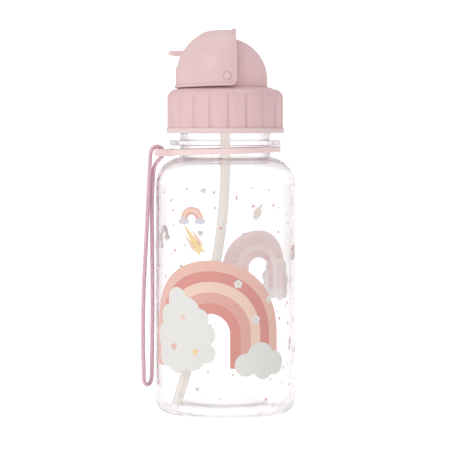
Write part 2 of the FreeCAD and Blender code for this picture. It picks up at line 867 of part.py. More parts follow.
def check(parts):
    """Stop if any object failed or any sub-part's shape is missing or faulty."""
    document.recompute()
    for thing in document.Objects:
        if "Invalid" in thing.State or "Error" in thing.State:
            raise RuntimeError("%s failed: %s" % (thing.Label, thing.State))
    for part in parts:
        shape = part.Shape
        if shape.isNull() or not shape.isValid() or len(shape.Solids) != 1:
            raise RuntimeError("%s isn't one valid solid" % part.Label)
        print("%-14s %9.1f mm3" % (part.Label, shape.Volume))


def main():
    parts = [
        bottle_body(),
        cap_gasket(),
        cap_core(),
        cap_grip_ring(),
        flip_hood(),
        hinge_pin("hinge_pin_near", -1),
        hinge_pin("hinge_pin_far", 1),
        spout_base(),
        spout_tube(),
        straw(),
        air_valve(),
        strap_band(),
        strap_cord(),
    ]
    check(parts)
    os.makedirs("parts", exist_ok=True)
    for part in parts:
        part.Shape.exportStep("parts/%s.step" % part.Label)


main()
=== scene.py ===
import math
import random

import bpy
import numpy as np
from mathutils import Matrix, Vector


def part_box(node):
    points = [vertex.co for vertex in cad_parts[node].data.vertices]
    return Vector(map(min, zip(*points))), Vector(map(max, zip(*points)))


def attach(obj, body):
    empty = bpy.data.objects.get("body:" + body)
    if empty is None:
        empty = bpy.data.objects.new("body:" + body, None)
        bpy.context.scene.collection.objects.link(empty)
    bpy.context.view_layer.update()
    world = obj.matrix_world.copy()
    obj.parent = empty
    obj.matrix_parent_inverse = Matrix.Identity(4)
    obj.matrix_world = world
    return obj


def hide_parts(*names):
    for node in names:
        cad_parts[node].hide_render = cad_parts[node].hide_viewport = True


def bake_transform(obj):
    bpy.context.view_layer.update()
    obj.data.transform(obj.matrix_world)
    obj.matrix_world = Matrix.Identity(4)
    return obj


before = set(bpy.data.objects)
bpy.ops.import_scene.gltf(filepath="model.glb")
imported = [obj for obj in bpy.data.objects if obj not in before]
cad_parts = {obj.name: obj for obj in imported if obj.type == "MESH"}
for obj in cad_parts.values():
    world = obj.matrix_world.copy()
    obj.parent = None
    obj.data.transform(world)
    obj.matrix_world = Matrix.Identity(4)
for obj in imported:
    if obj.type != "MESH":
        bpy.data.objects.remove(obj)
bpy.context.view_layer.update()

# Lengths below are in millimetres and become metres where a mesh is made.
MM = 0.001


def box_mm(node):
    """A CAD node's lowest and highest corners, in millimetres."""
    return tuple(Vector(corner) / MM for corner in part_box(node))


# ---- Camera ----

CAMERA_AZIMUTH = math.radians(-2.3)
CAMERA_DISTANCE = 1060.0
CAMERA_HEIGHT = 138.0
CAMERA_AIM = (2.39, 91.45)
CAMERA_LENS = 164.8


def make_camera():
    """The main view: a long lens a little above the bottle's middle."""
    away = Vector((math.sin(CAMERA_AZIMUTH), -math.cos(CAMERA_AZIMUTH), 0))
    right = Vector((math.cos(CAMERA_AZIMUTH), math.sin(CAMERA_AZIMUTH), 0))
    place = (away * CAMERA_DISTANCE + right * CAMERA_AIM[0] + Vector((0, 0, CAMERA_HEIGHT))) * MM
    target = (right * CAMERA_AIM[0] + Vector((0, 0, CAMERA_AIM[1]))) * MM
    lens = bpy.data.cameras.new("camera")
    lens.lens = CAMERA_LENS
    lens.sensor_width = 36
    camera = bpy.data.objects.new("camera", lens)
    camera.location = place
    camera.rotation_euler = (target - place).to_track_quat("-Z", "Y").to_euler()
    bpy.context.scene.collection.objects.link(camera)
    bpy.context.scene.camera = camera


make_camera()


# ---- Materials ----


def linear(colour):
    """An sRGB colour given as 0 to 255, as the linear values that shaders take."""

    def channel(value):
        share = value / 255
        return share / 12.92 if share <= 0.04045 else ((share + 0.055) / 1.055) ** 2.4

    return tuple(channel(value) for value in colour) + (1.0,)


class Nodes:
    """The node tree of a new material or world, with short calls to add and join its nodes."""

    def __init__(self, owner, output="ShaderNodeOutputMaterial"):
        self.owner = owner
        owner.use_nodes = True
        self.tree = owner.node_tree
        self.tree.nodes.clear()
        self.output = self.add(output)

    def add(self, kind, **settings):
        """A node; inputs are named with spaces as underscores, properties as they are."""
        node = self.tree.nodes.new(kind)
        for key, value in settings.items():
            title = key.replace("_", " ")
            if title in node.inputs:
                self.feed(node.inputs[title], value)
            else:
                setattr(node, key, value)
        return node

    def feed(self, socket, value):
        """Put a number, a colour or another node's output into an input."""
        if isinstance(value, bpy.types.NodeSocket):
            self.tree.links.new(value, socket)
        else:
            socket.default_value = value

    def mix(self, share, first, second):
        """A blend of two colours, each given as 0 to 255 or as another node's output."""
        node = self.add("ShaderNodeMix", data_type="RGBA")
        self.feed(node.inputs["Factor"], share)
        for number, colour in ((6, first), (7, second)):
            self.feed(node.inputs[number], linear(colour) if isinstance(colour, tuple) else colour)
        return node.outputs[2]

    def math(self, operation, *values):
        """The result of a piece of arithmetic on numbers and other nodes' outputs."""
        node = self.add("ShaderNodeMath", operation=operation)
        for socket, value in zip(node.inputs, values):
            self.feed(socket, value)
        return node.outputs[0]

    def ramp(self, value, low, high):
        """A 0 to 1 share that rises as value goes from low to high."""
        settings = {"Value": value, "From_Min": low, "From_Max": high}
        return self.add("ShaderNodeMapRange", **settings).outputs["Result"]

    def span(self, share, start, end):
        """A number that goes from start to end as a share goes from 0 to 1."""
        settings = {"Value": share, "To_Min": start, "To_Max": end}
        return self.add("ShaderNodeMapRange", **settings).outputs["Result"]

    def place(self):
        """The place on the object, in its own metres."""
        return self.add("ShaderNodeTexCoord").outputs["Object"]

    def height(self):
        """The height on the object, in metres."""
        return self.add("ShaderNodeSeparateXYZ", Vector=self.place()).outputs["Z"]

    def facing(self):
        """0 where a surface faces the viewer, 1 at its rim."""
        return self.add("ShaderNodeLayerWeight", Blend=0.5).outputs["Facing"]

    def rays(self, first, second):
        """1 for two kinds of light ray, 0 for all others."""
        path = self.add("ShaderNodeLightPath")
        return self.math("MAXIMUM", path.outputs[first], path.outputs[second])

    def noise(self, scale, detail=3.0):
        """Noise in the object's own metres."""
        node = self.add("ShaderNodeTexNoise", Vector=self.place(), Scale=scale, Detail=detail)
        return node.outputs["Fac"]

    def bump(self, height, distance, strength=1.0, normal=None):
        """A bumped normal; distance is in metres."""
        node = self.add("ShaderNodeBump", Height=height, Distance=distance, Strength=strength)
        if normal is not None:
            self.feed(node.inputs["Normal"], normal)
        return node.outputs["Normal"]

    def finish(self, surface, volume=None):
        """Join the shaders to the output; returns the material or world."""
        self.tree.links.new(surface, self.output.inputs["Surface"])
        if volume is not None:
            self.tree.links.new(volume, self.output.inputs["Volume"])
        return self.owner

    def principled(self, depth=(0.0, (1.0, 0.2, 0.1), 0.05), **settings):
        """Finish with one Principled shader; depth is its subsurface weight, radius and scale."""
        for title, value in zip(("Weight", "Radius", "Scale"), depth):
            settings["Subsurface_" + title] = value
        return self.finish(self.add("ShaderNodeBsdfPrincipled", **settings).outputs["BSDF"])


def new_material(name):
    """The nodes of a new material."""
    return Nodes(bpy.data.materials.new(name))


# The lip's painted highlight: how far it fades in, in metres, and its paler pink.
HIGHLIGHT_FADE = 0.0004
LIP_HIGHLIGHT_PINK = (220, 196, 196)


def moulded_plastic(name, colour, shade, roughness=0.42, highlight_below=0.0):
    """Satin moulded plastic: fine spark texture, faint clouding and a soft inner glow.

    Below a given height it is painted a little paler: a painted highlight for the light that its
    lip catches.
    """
    nodes = new_material(name)
    clouds = nodes.noise(55.0, 2.0)
    grain = nodes.noise(2600.0, 2.0)
    tint = nodes.mix(nodes.ramp(clouds, 0.35, 0.7), colour, shade)
    # Painted highlight: below the given height the ring is painted paler, for the light that its
    # lip catches.
    if highlight_below:
        above = nodes.ramp(nodes.height(), highlight_below - HIGHLIGHT_FADE, highlight_below)
        tint = nodes.mix(above, LIP_HIGHLIGHT_PINK, tint)
    waves = nodes.bump(clouds, 0.00012, 0.5)
    return nodes.principled(
        Base_Color=tint,
        Roughness=nodes.span(grain, roughness - 0.05, roughness + 0.09),
        IOR=1.49,
        depth=(0.1, (0.0016, 0.0012, 0.0011), 0.5),
        Normal=nodes.bump(grain, 0.00002, 0.35, waves),
    )


# Heights in metres between which the wall changes from base to side and from shoulder to neck.
BASE_ZONE = (0.002, 0.012)
NECK_ZONE = (0.121, 0.126)


def clear_plastic(name):
    """The bottle's wall: clear copolyester, faintly lilac where it is seen along its thickness,
    with painted shade towards its rim.

    A share of the rays goes straight through, as do all that carry light to other pieces.
    """
    nodes = new_material(name)
    height = nodes.height()
    above_base = nodes.ramp(height, *BASE_ZONE)
    in_neck = nodes.ramp(height, *NECK_ZONE)
    # Painted shade: the wall is painted a little darker towards its rim, partly for the length of
    # wall seen there and partly for the darker surroundings it would reflect.
    turned_away = nodes.ramp(nodes.facing(), 0.4, 0.85)
    rim = nodes.math("MULTIPLY", turned_away, nodes.span(above_base, 0.6, 1.0))
    face = nodes.mix(in_neck, (255, 255, 255), (252, 251, 251))
    tint = nodes.mix(rim, face, (247, 243, 243))
    ripple = nodes.bump(nodes.noise(38.0, 1.0), 0.00022, 0.3)
    glass = nodes.add("ShaderNodeBsdfGlass", Color=tint, Roughness=0.015, IOR=1.2, Normal=ripple)
    through = nodes.add("ShaderNodeBsdfTransparent", Color=tint)
    straight = nodes.math("MULTIPLY_ADD", in_neck, 0.26, nodes.span(above_base, 0.3, 0.06))
    lighting = nodes.rays("Is Shadow Ray", "Is Diffuse Ray")
    mixed = nodes.add("ShaderNodeMixShader", Fac=nodes.math("MAXIMUM", lighting, straight))
    nodes.feed(mixed.inputs[1], glass.outputs[0])
    nodes.feed(mixed.inputs[2], through.outputs[0])
    depth = nodes.add("ShaderNodeVolumeAbsorption", Color=linear((198, 189, 208)), Density=14.0)
    return nodes.finish(mixed.outputs[0], depth.outputs[0])


def soft_silicone(name, colour, roughness=0.38):
    """Milky silicone rubber with a fine matt skin."""
    nodes = new_material(name)
    cloud = nodes.noise(140.0, 3.0)
    tint = nodes.mix(cloud, colour, tuple(value * 0.93 for value in colour))
    return nodes.principled(
        Base_Color=tint,
        Roughness=roughness,
        IOR=1.42,
        depth=(0.5, (0.003, 0.0026, 0.0022), 0.6),
        Normal=nodes.bump(nodes.noise(1900.0, 2.0), 0.00002, 0.3),
    )


# The straw's painted glow: the heights in metres over which it rises, and its strength below and
# above them.
STRAW_GLOW_ZONE = (0.118, 0.132)
STRAW_GLOW = (0.43, 0.6)


def straw_plastic(name):
    """The straw: a milky tube, glossier than the cap, with faint lines drawn along it.

    Its glow is painted light that stands for light scattering inside it, and grows where the cap
    shades it; its colour and glow are painted darker at its rim, as painted shade.
    """
    nodes = new_material(name)
    lines = nodes.add("ShaderNodeMapping", Vector=nodes.place(), Scale=(900.0, 900.0, 14.0))
    noise = nodes.add("ShaderNodeTexNoise", Vector=lines.outputs[0], Scale=1.0, Detail=2.0)
    streak = noise.outputs["Fac"]
    # Painted shade: colour and glow are painted darker towards the tube's rim.
    rim = nodes.ramp(nodes.facing(), 0.35, 0.85)
    face = nodes.mix(streak, (170, 166, 161), (163, 158, 153))
    return nodes.principled(
        Base_Color=nodes.mix(rim, face, (120, 106, 104)),
        Roughness=0.3,
        IOR=1.38,
        Emission_Color=nodes.mix(rim, (253, 245, 238), (196, 178, 174)),
        Emission_Strength=nodes.span(nodes.ramp(nodes.height(), *STRAW_GLOW_ZONE), *STRAW_GLOW),
        depth=(0.4, (0.003, 0.0025, 0.002), 0.5),
        Normal=nodes.bump(streak, 0.00003, 0.4),
    )


def braid_fabric(name):
    """The cord's yarn: each plait shows lit crowns, gaps darkened with painted shade, and fine
    fibres.
    """
    nodes = new_material(name)
    plait = nodes.add("ShaderNodeAttribute", attribute_name="plait").outputs["Fac"]
    fibre = nodes.noise(5200.0, 2.0)
    patch = nodes.noise(420.0, 2.0)
    yarn = nodes.mix(patch, (229, 182, 199), (243, 213, 223))
    # Painted shade: the low parts of each plait are painted a deep dark pink, for the shade between
    # the plaits.
    gap_shade = nodes.mix(nodes.ramp(plait, 0.3, 0.8), (146, 72, 100), yarn)
    fuzz = nodes.mix(nodes.ramp(fibre, 0.48, 0.72), gap_shade, (244, 220, 227))
    return nodes.principled(
        Base_Color=fuzz,
        Roughness=0.78,
        depth=(0.35, (0.0022, 0.0007, 0.001), 0.5),
        Sheen_Weight=0.35,
        Sheen_Roughness=0.4,
        Sheen_Tint=linear((248, 226, 232)),
        Normal=nodes.bump(fibre, 0.00004, 0.6),
    )


def printed_ink(name, colour):
    """Screen-printed ink: even colour with a faint mottle and a silky skin."""
    nodes = new_material(name)
    mottle = nodes.noise(700.0, 4.0)
    darker = tuple(value * 0.98 for value in colour)
    tint = nodes.mix(nodes.ramp(mottle, 0.3, 0.75), colour, darker)
    skin = nodes.bump(mottle, 0.00001, 0.12)
    return nodes.principled(Base_Color=tint, Roughness=0.5, Normal=skin)


GRIP_LOW = box_mm("cap_grip_ring")[0].z
LIP_TOP = GRIP_LOW + 2.7
# The cap's pink, with a painted highlight on its lip.
CAP_PINK = moulded_plastic("cap_pink", (219, 184, 187), (213, 177, 181), highlight_below=LIP_TOP * MM)
HOOD_PINK = moulded_plastic("hood_pink", (221, 191, 190), (215, 184, 184))
# Painted light: the dome's pink is painted lighter than the cap's, for the fill light that its
# place under the hood lacks.
LIT_DOME_PINK = moulded_plastic("lit_dome_pink", (226, 189, 192), (220, 182, 186))
BAND_PINK = moulded_plastic("band_pink", (236, 211, 210), (230, 202, 203), roughness=0.5)
CLEAR = clear_plastic("clear_wall")
MILKY = soft_silicone("milky_silicone", (232, 230, 228))
WHITE_SEAL = soft_silicone("white_seal", (233, 231, 227), roughness=0.5)
STRAW = straw_plastic("straw_plastic")
CORD = braid_fabric("cord_braid")


# ---- Mesh making ----


def add_mesh(name, points, faces, material, body, replaced=()):
    """A smooth-shaded mesh from points in millimetres, riding on any body in place of CAD nodes."""
    mesh = bpy.data.meshes.new(name)
    mesh.from_pydata((np.asarray(points, float) * MM).tolist(), [], faces)
    mesh.validate()
    mesh.polygons.foreach_set("use_smooth", [True] * len(mesh.polygons))
    mesh.materials.append(material)
    mesh.update()
    piece = bpy.data.objects.new(name, mesh)
    bpy.context.scene.collection.objects.link(piece)
    if body:
        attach(piece, body)
    if replaced:
        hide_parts(*replaced)
    return piece


def weigh_normals(piece):
    """Let the large faces rule the shading, so that flats stay flat beside rounded edges."""
    weighted = piece.modifiers.new("weighted", "WEIGHTED_NORMAL")
    weighted.weight = 100
    weighted.keep_sharp = True


def arc(centre, radius, start, end, steps=18):
    """Outline points along an arc, its angles in degrees."""
    angles = np.radians(np.linspace(start, end, steps + 1))
    return [(centre[0] + radius * math.cos(a), centre[1] + radius * math.sin(a)) for a in angles]


def rounded(corners, closed):
    """An outline of (across, up, rounding) corners, each rounding turned into a small arc."""
    count = len(corners)
    outline = []
    for here, corner in enumerate(corners):
        middle = Vector(corner[:2])
        rounding = corner[2] if len(corner) > 2 else 0
        at_end = not closed and here in (0, count - 1)
        if not rounding or at_end:
            outline.append(tuple(middle))
            continue
        arriving = (middle - Vector(corners[here - 1][:2])).normalized()
        leaving = (Vector(corners[(here + 1) % count][:2]) - middle).normalized()
        turn = arriving.angle_signed(leaving) * -1
        setback = rounding * math.tan(abs(turn) / 2)
        side = Vector((-arriving.y, arriving.x)) * (1 if turn > 0 else -1)
        centre = middle - arriving * setback + side * rounding
        steps = max(2, int(abs(turn) / math.radians(14)))
        spoke = -side * rounding
        for step in range(steps + 1):
            angle = turn * step / steps
            cosine, sine = math.cos(angle), math.sin(angle)
            swung = (spoke.x * cosine - spoke.y * sine, spoke.x * sine + spoke.y * cosine)
            outline.append((centre.x + swung[0], centre.y + swung[1]))
    return outline


def divided(outline, closed, longest):
    """The same outline with no stretch longer than a limit."""
    finer = []
    count = len(outline)
    for here in range(count):
        start = outline[here]
        finer.append(start)
        if here == count - 1 and not closed:
            break
        end = outline[(here + 1) % count]
        parts = int(math.dist(start, end) / longest) + 1
        for part in range(1, parts):
            share = part / parts
            finer.append(tuple(a + (b - a) * share for a, b in zip(start, end)))
    return finer


def turned(outline, closed, segments, radius_at=None):
    """Points and faces of an outline turned round Z; radius_at may move a point in or out."""
    angles = np.arange(segments) * 2 * math.pi / segments
    points = []
    rings = []
    for radius, height in outline:
        if radius < 1e-6:
            rings.append([len(points)] * segments)
            points.append((0.0, 0.0, height))
            continue
        radii = np.full(segments, radius)
        if radius_at is not None:
            radii = radius_at(angles, radii, height)
        rings.append(list(range(len(points), len(points) + segments)))
        points.extend(zip(radii * np.cos(angles), radii * np.sin(angles), [height] * segments))
    faces = []
    stretches = len(rings) if closed else len(rings) - 1
    for here in range(stretches):
        low, high = rings[here], rings[(here + 1) % len(rings)]
        for column in range(segments):
            beside = (column + 1) % segments
            corners = [low[column], low[beside], high[beside], high[column]]
            face = list(dict.fromkeys(corners))
            if len(face) > 2:
                faces.append(face)
    return points, faces


def lathe(corners, closed, segments, longest=math.inf, radius_at=None):
    """Points and faces of a profile of rounded corners turned round Z."""
    outline = divided(rounded(corners, closed), closed, longest)
    return turned(outline, closed, segments, radius_at)


def tube_faces(rings, sides, closed):
    """The four-sided faces between rings of points that follow one another."""
    faces = []
    for ring in range(rings if closed else rings - 1):
        low, high = ring * sides, (ring + 1) % rings * sides
        for column in range(sides):
            beside = (column + 1) % sides
            faces.append([low + column, low + beside, high + beside, high + column])
    return faces


# ---- Shapes from distance fields ----
# A field gives each point's distance outside a shape, in millimetres, and is negative inside.


def either(first, second, blend):
    """Two shapes joined, with a fillet about as large as blend."""
    share = np.clip(0.5 + 0.5 * (second - first) / blend, 0, 1)
    return second * (1 - share) + first * share - blend * share * (1 - share)


def both(first, second, blend):
    """What two shapes share, its edges rounded by about blend."""
    return -either(-first, -second, blend)


def less(first, second, blend):
    """A shape with another cut away, its edges rounded by about blend."""
    return both(first, -second, blend)


def within(limits, rounding):
    """What lies inside several limits that are square to each other, its edges rounded."""
    limits = [limit + rounding for limit in limits]
    outside = np.sqrt(sum(np.maximum(limit, 0) ** 2 for limit in limits))
    return outside + np.minimum(np.maximum.reduce(limits), 0) - rounding


def between(value, low, high):
    """The limit that keeps a value between two others."""
    return np.abs(value - (low + high) / 2) - (high - low) / 2


def block_field(x, y, z, low, high, rounding):
    """A box between two corners with rounded edges."""
    return within([between(*span) for span in zip((x, y, z), low, high)], rounding)


def disc_field(across, along, radius, low, high, rounding):
    """A round bar: across is the distance from its axis, along the place on it."""
    return within([across - radius, between(along, low, high)], rounding)


CELL_CORNERS = [(i, j, k) for i in (0, 1) for j in (0, 1) for k in (0, 1)]


def skin(field, low, high, step):
    """The surface where a field is zero, as points in millimetres and four-sided faces."""
    axes = [np.arange(start - 2 * step, end + 3 * step, step) for start, end in zip(low, high)]
    values = field(*np.meshgrid(*axes, indexing="ij"))
    shape = tuple(size - 1 for size in values.shape)
    total = np.zeros(shape + (3,))
    crossings = np.zeros(shape)

    def corner_values(corner):
        return values[tuple(slice(c, c + size) for c, size in zip(corner, shape))]

    for corner in CELL_CORNERS:
        for axis in range(3):
            if corner[axis]:
                continue
            other = tuple(c + (1 if number == axis else 0) for number, c in enumerate(corner))
            near, far = corner_values(corner), corner_values(other)
            crossed = (near < 0) != (far < 0)
            share = np.where(crossed, near / np.where(crossed, near - far, 1), 0)
            for number in range(3):
                offset = corner[number] + (share if number == axis else 0)
                total[..., number] += np.where(crossed, offset, 0)
            crossings += crossed
    active = crossings > 0
    index = np.full(shape, -1)
    index[active] = np.arange(active.sum())
    cells = np.argwhere(active)
    points = cells + total[active] / crossings[active][:, None]
    points = points * step + np.array([axis[0] for axis in axes])
    faces = []
    for axis in range(3):
        first, second = (axis + 1) % 3, (axis + 2) % 3
        here = [slice(1, -1)] * 3
        here[axis] = slice(0, -1)
        ahead = list(here)
        ahead[axis] = slice(1, None)
        start, end = values[tuple(here)] < 0, values[tuple(ahead)] < 0
        for leaving in (True, False):
            edges = np.argwhere((start & ~end) if leaving else (~start & end))
            edges += np.array([0 if number == axis else 1 for number in range(3)])
            around = []
            for back_first, back_second in ((1, 1), (0, 1), (0, 0), (1, 0)):
                cell = edges.copy()
                cell[:, first] -= back_first
                cell[:, second] -= back_second
                around.append(index[tuple(cell.T)])
            quads = np.stack(around if leaving else around[::-1], axis=1)
            faces.append(quads[(quads >= 0).all(axis=1)])
    reach = step * 0.02
    for _ in range(4):
        x, y, z = points.T
        distance = field(x, y, z)
        slopes = []
        for shift in np.eye(3) * reach:
            ahead = field(x + shift[0], y + shift[1], z + shift[2])
            behind = field(x - shift[0], y - shift[1], z - shift[2])
            slopes.append((ahead - behind) / (2 * reach))
        slope = np.stack(slopes, axis=1)
        steepness = np.maximum((slope**2).sum(axis=1), 0.25)
        move = -slope * (distance / steepness)[:, None]
        points = points + np.clip(move, -step / 3, step / 3)
    normals = slope / np.linalg.norm(slope, axis=1, keepdims=True)
    return points, np.concatenate(faces).tolist(), normals


def sculpt(name, field, low, high, step, material, body, replaced=()):
    """A piece whose surface is a field's zero level, shaded by the field's own slope."""
    points, faces, normals = skin(field, low, high, step)
    piece = add_mesh(name, points, faces, material, body, replaced)
    piece.data.normals_split_custom_set_from_vertices(normals.tolist())
    return piece


# ---- Carry cord ----

# Lengths in this section are in metres. The route is the CAD tube's, point for point.
CORD_ROUTE = [
    (-0.03278, 0.00080, 0.12741),
    (-0.03116, 0.00062, 0.12910),
    (-0.03116, 0.00035, 0.13170),
    (-0.03300, 0.00002, 0.13354),
    (-0.03560, -0.00032, 0.13352),
    (-0.03744, -0.00064, 0.13168),
    (-0.03780, -0.00082, 0.12750),
    (-0.03812, -0.00090, 0.12050),
    (-0.03880, -0.00092, 0.10750),
    (-0.03980, -0.00100, 0.08700),
    (-0.04145, -0.00102, 0.05600),
    (-0.04150, -0.00130, 0.03100),
    (-0.04115, -0.00185, 0.02100),
    (-0.04120, -0.00205, 0.01480),
    (-0.03925, 0.00002, 0.01290),
    (-0.03730, 0.00205, 0.01480),
    (-0.03705, 0.00185, 0.02050),
    (-0.03690, 0.00130, 0.02750),
    (-0.03682, 0.00084, 0.03850),
    (-0.03662, 0.00092, 0.05600),
    (-0.03682, 0.00100, 0.08800),
    (-0.03695, 0.00096, 0.10550),
    (-0.03650, 0.00092, 0.11550),
    (-0.03612, 0.00090, 0.12050),
    (-0.03560, 0.00088, 0.12450),
    (-0.03292, 0.00082, 0.12727),
]
CORD_DIAMETER = 0.002


def smooth_line(route):
    """The points of a smooth curve led by the route's points, ends included."""
    curve = bpy.data.curves.new("route", "CURVE")
    curve.dimensions = "3D"
    curve.resolution_u = 24
    spline = curve.splines.new("NURBS")
    spline.points.add(len(route) - 1)
    for point, place in zip(spline.points, route):
        point.co = (*place, 1)
    spline.order_u = 3
    spline.use_endpoint_u = True
    carrier = bpy.data.objects.new("route", curve)
    bpy.context.scene.collection.objects.link(carrier)
    bpy.context.view_layer.update()
    line = bpy.data.meshes.new_from_object(carrier)
    places = [vertex.co.copy() for vertex in line.vertices]
    bpy.data.objects.remove(carrier)
    bpy.data.meshes.remove(line)
    return places


def evenly_spaced(places, spacing):
    """Points at even steps along a line, its last point included."""
    gone = [0.0]
    for before, after in zip(places, places[1:]):
        gone.append(gone[-1] + (after - before).length)
    count = int(gone[-1] / spacing)
    wanted = np.linspace(0, gone[-1], count + 1)
    columns = [np.interp(wanted, gone, [place[axis] for place in places]) for axis in range(3)]
    return [Vector(place) for place in zip(*columns)], gone[-1]


def travelling_frames(places):
    """For each point its two cross directions, carried along the line without twisting."""
    frames = []
    headings = []
    for here in range(len(places)):
        before, after = places[max(here - 1, 0)], places[min(here + 1, len(places) - 1)]
        headings.append((after - before).normalized())
    side = headings[0].cross(Vector((0, 1, 0))).normalized()
    for heading in headings:
        side = (side - heading * side.dot(heading)).normalized()
        frames.append((side, heading.cross(side)))
    return frames


CORD_STEP = 0.00022
CORD_SIDES = 28
STRANDS = 8
PLAIT_LENGTH = 0.0052
PLAIT_DEPTH = 0.0002


def plait_height(turn, along):
    """How high the braid stands, 0 to 1, at a share of a turn and a place along the cord."""
    rising = (turn + along / PLAIT_LENGTH) * STRANDS
    falling = (turn - along / PLAIT_LENGTH) * STRANDS
    over = (math.floor(rising) + math.floor(falling)) % 2
    ridge = rising if over else falling
    crossing = falling if over else rising
    crown = abs(math.sin(math.pi * ridge))
    dip = 0.55 + 0.45 * abs(math.sin(math.pi * crossing))
    return crown**0.6 * dip


def make_cord():
    """The braided carry cord, its ends butted under the eyelet."""
    line = smooth_line(CORD_ROUTE)
    places, length = evenly_spaced(line, CORD_STEP)
    points = []
    heights = []
    for number, (place, (side, up)) in enumerate(zip(places, travelling_frames(places))):
        along = number * CORD_STEP
        for column in range(CORD_SIDES):
            turn = column / CORD_SIDES
            angle = 2 * math.pi * turn
            height = plait_height(turn, along)
            radius = CORD_DIAMETER / 2 + PLAIT_DEPTH * (height - 0.5)
            points.append((place + (side * math.cos(angle) + up * math.sin(angle)) * radius) / MM)
            heights.append(height)
    faces = tube_faces(len(places), CORD_SIDES, closed=False)
    faces.append(list(range(CORD_SIDES))[::-1])
    faces.append(list(range(len(points) - CORD_SIDES, len(points))))
    cord = add_mesh("carry_cord", points, faces, CORD, "cord", ["strap_cord"])
    plait = cord.data.attributes.new("plait", "FLOAT", "POINT")
    plait.data.foreach_set("value", heights)


make_cord()


# ---- Bottle ----

BOTTLE_RADIUS = box_mm("bottle_body")[1].x
NECK_TOP = box_mm("bottle_body")[1].z
WALL = 1.5
NECK_RADIUS = 22.7
BORE_RADIUS = 21.0
SHOULDER_START = 114.3
SHOULDER_RADIUS = 14.0
BASE_CORNER = 5.5
BASE_THICKNESS = 1.8
FLANGE_RADIUS = 27.9
FLANGE_LOW = 134.0
FLANGE_HIGH = 136.6
GATE_MARK_RADIUS = 1.6
GATE_MARK_EDGE = 2.2
GATE_MARK_DEPTH = 0.4
PUSH_UP_RADIUS = 21.0
PUSH_UP_HEIGHT = 3.8
FOOT_INNER = 24.5
THREAD_PITCH = 5.0
THREAD_DEPTH = 1.3
THREAD_HALF_ROOT = 1.5
THREAD_HALF_CREST = 0.8
THREAD_FADE = 0.35
NECK_THREAD_START = 148.0
NECK_THREAD_ROWS = np.arange(145.5, 156.0, 0.3)


def neck_radius_at(angles, radii, height):
    """The neck's outer surface with its one turn of thread."""
    if abs(radii[0] - NECK_RADIUS) > 0.05 or height < FLANGE_HIGH + 1:
        return radii
    offset = np.abs(height - NECK_THREAD_START - THREAD_PITCH * angles / (2 * math.pi))
    rise = np.clip((THREAD_HALF_ROOT - offset) / (THREAD_HALF_ROOT - THREAD_HALF_CREST), 0, 1)
    ends = np.clip(np.minimum(angles, 2 * math.pi - angles) / THREAD_FADE, 0, 1)
    return radii + THREAD_DEPTH * rise**2 * (3 - 2 * rise) * ends


def make_bottle():
    """The clear blown bottle as one closed wall, with its gate mark under the base."""
    shoulder = (BOTTLE_RADIUS - SHOULDER_RADIUS, SHOULDER_START)
    outer_end = math.degrees(math.acos((NECK_RADIUS - shoulder[0] + 0.9) / SHOULDER_RADIUS))
    neck_foot = SHOULDER_START + math.sqrt(SHOULDER_RADIUS**2 - (NECK_RADIUS - shoulder[0]) ** 2)
    foot = BOTTLE_RADIUS - BASE_CORNER
    corners = [
        (0, PUSH_UP_HEIGHT - GATE_MARK_DEPTH),
        (GATE_MARK_RADIUS, PUSH_UP_HEIGHT - GATE_MARK_DEPTH, 0.2),
        (GATE_MARK_EDGE, PUSH_UP_HEIGHT, 0.4),
        (PUSH_UP_RADIUS, PUSH_UP_HEIGHT, 4),
        (FOOT_INNER, 0, 3),
    ]
    corners += arc((foot, BASE_CORNER), BASE_CORNER, -90, 0)
    corners += arc(shoulder, SHOULDER_RADIUS, 0, outer_end, 28)
    corners += [
        (NECK_RADIUS, neck_foot, 0.7),
        (NECK_RADIUS, FLANGE_LOW, 0.5),
        (FLANGE_RADIUS, FLANGE_LOW, 0.5),
        (FLANGE_RADIUS, FLANGE_HIGH, 0.5),
        (NECK_RADIUS, FLANGE_HIGH, 0.5),
    ]
    corners += [(NECK_RADIUS, height) for height in NECK_THREAD_ROWS]
    corners += [
        (NECK_RADIUS, NECK_TOP, 0.5),
        (BORE_RADIUS, NECK_TOP, 0.5),
        (BORE_RADIUS, SHOULDER_START + SHOULDER_RADIUS - WALL, 0.9),
    ]
    corners += arc(shoulder, SHOULDER_RADIUS - WALL, 84, 0, 28)
    corners += arc((foot, BASE_CORNER + BASE_THICKNESS - WALL), BASE_CORNER - WALL, 0, -90)
    corners += [
        (FOOT_INNER, BASE_THICKNESS, 4),
        (PUSH_UP_RADIUS, PUSH_UP_HEIGHT + BASE_THICKNESS, 4),
        (0, PUSH_UP_HEIGHT + BASE_THICKNESS),
    ]
    points, faces = lathe(corners, False, 288, longest=7.0, radius_at=neck_radius_at)
    nodes = ["bottle_body"]
    bottle = add_mesh("bottle_wall", points, faces, CLEAR, "bottle", nodes)
    weigh_normals(bottle)


make_bottle()


# ---- Cap: grip ring, core, seal ----

CROWN_HEIGHT = box_mm("cap_grip_ring")[1].z
LIP_RADIUS = 29.6
GRIP_RADIUS = 29.1
SKIRT_RADIUS = 26.8
CROWN_CORNER = 4.6
CROWN_ARC_HEIGHT = 157.6
CROWN_EDGE = (25.38, 162.11)
CROWN_STEP = (23.0, 162.8, 0.15)
CROWN_BORE = 21.35
COLLAR_TOP = CROWN_HEIGHT + 0.2
DECK_BOTTOM = NECK_TOP + 1.5
DECK_TOP = DECK_BOTTOM + 1.6
DECK_CORNER = 1.5
FLUTES = 20
FLUTE_ANGLE = math.radians(92.0)
FLUTE_RADIUS = 1.5
FLUTE_DEPTH = 0.75
FLUTE_RUN_OUT = 0.7


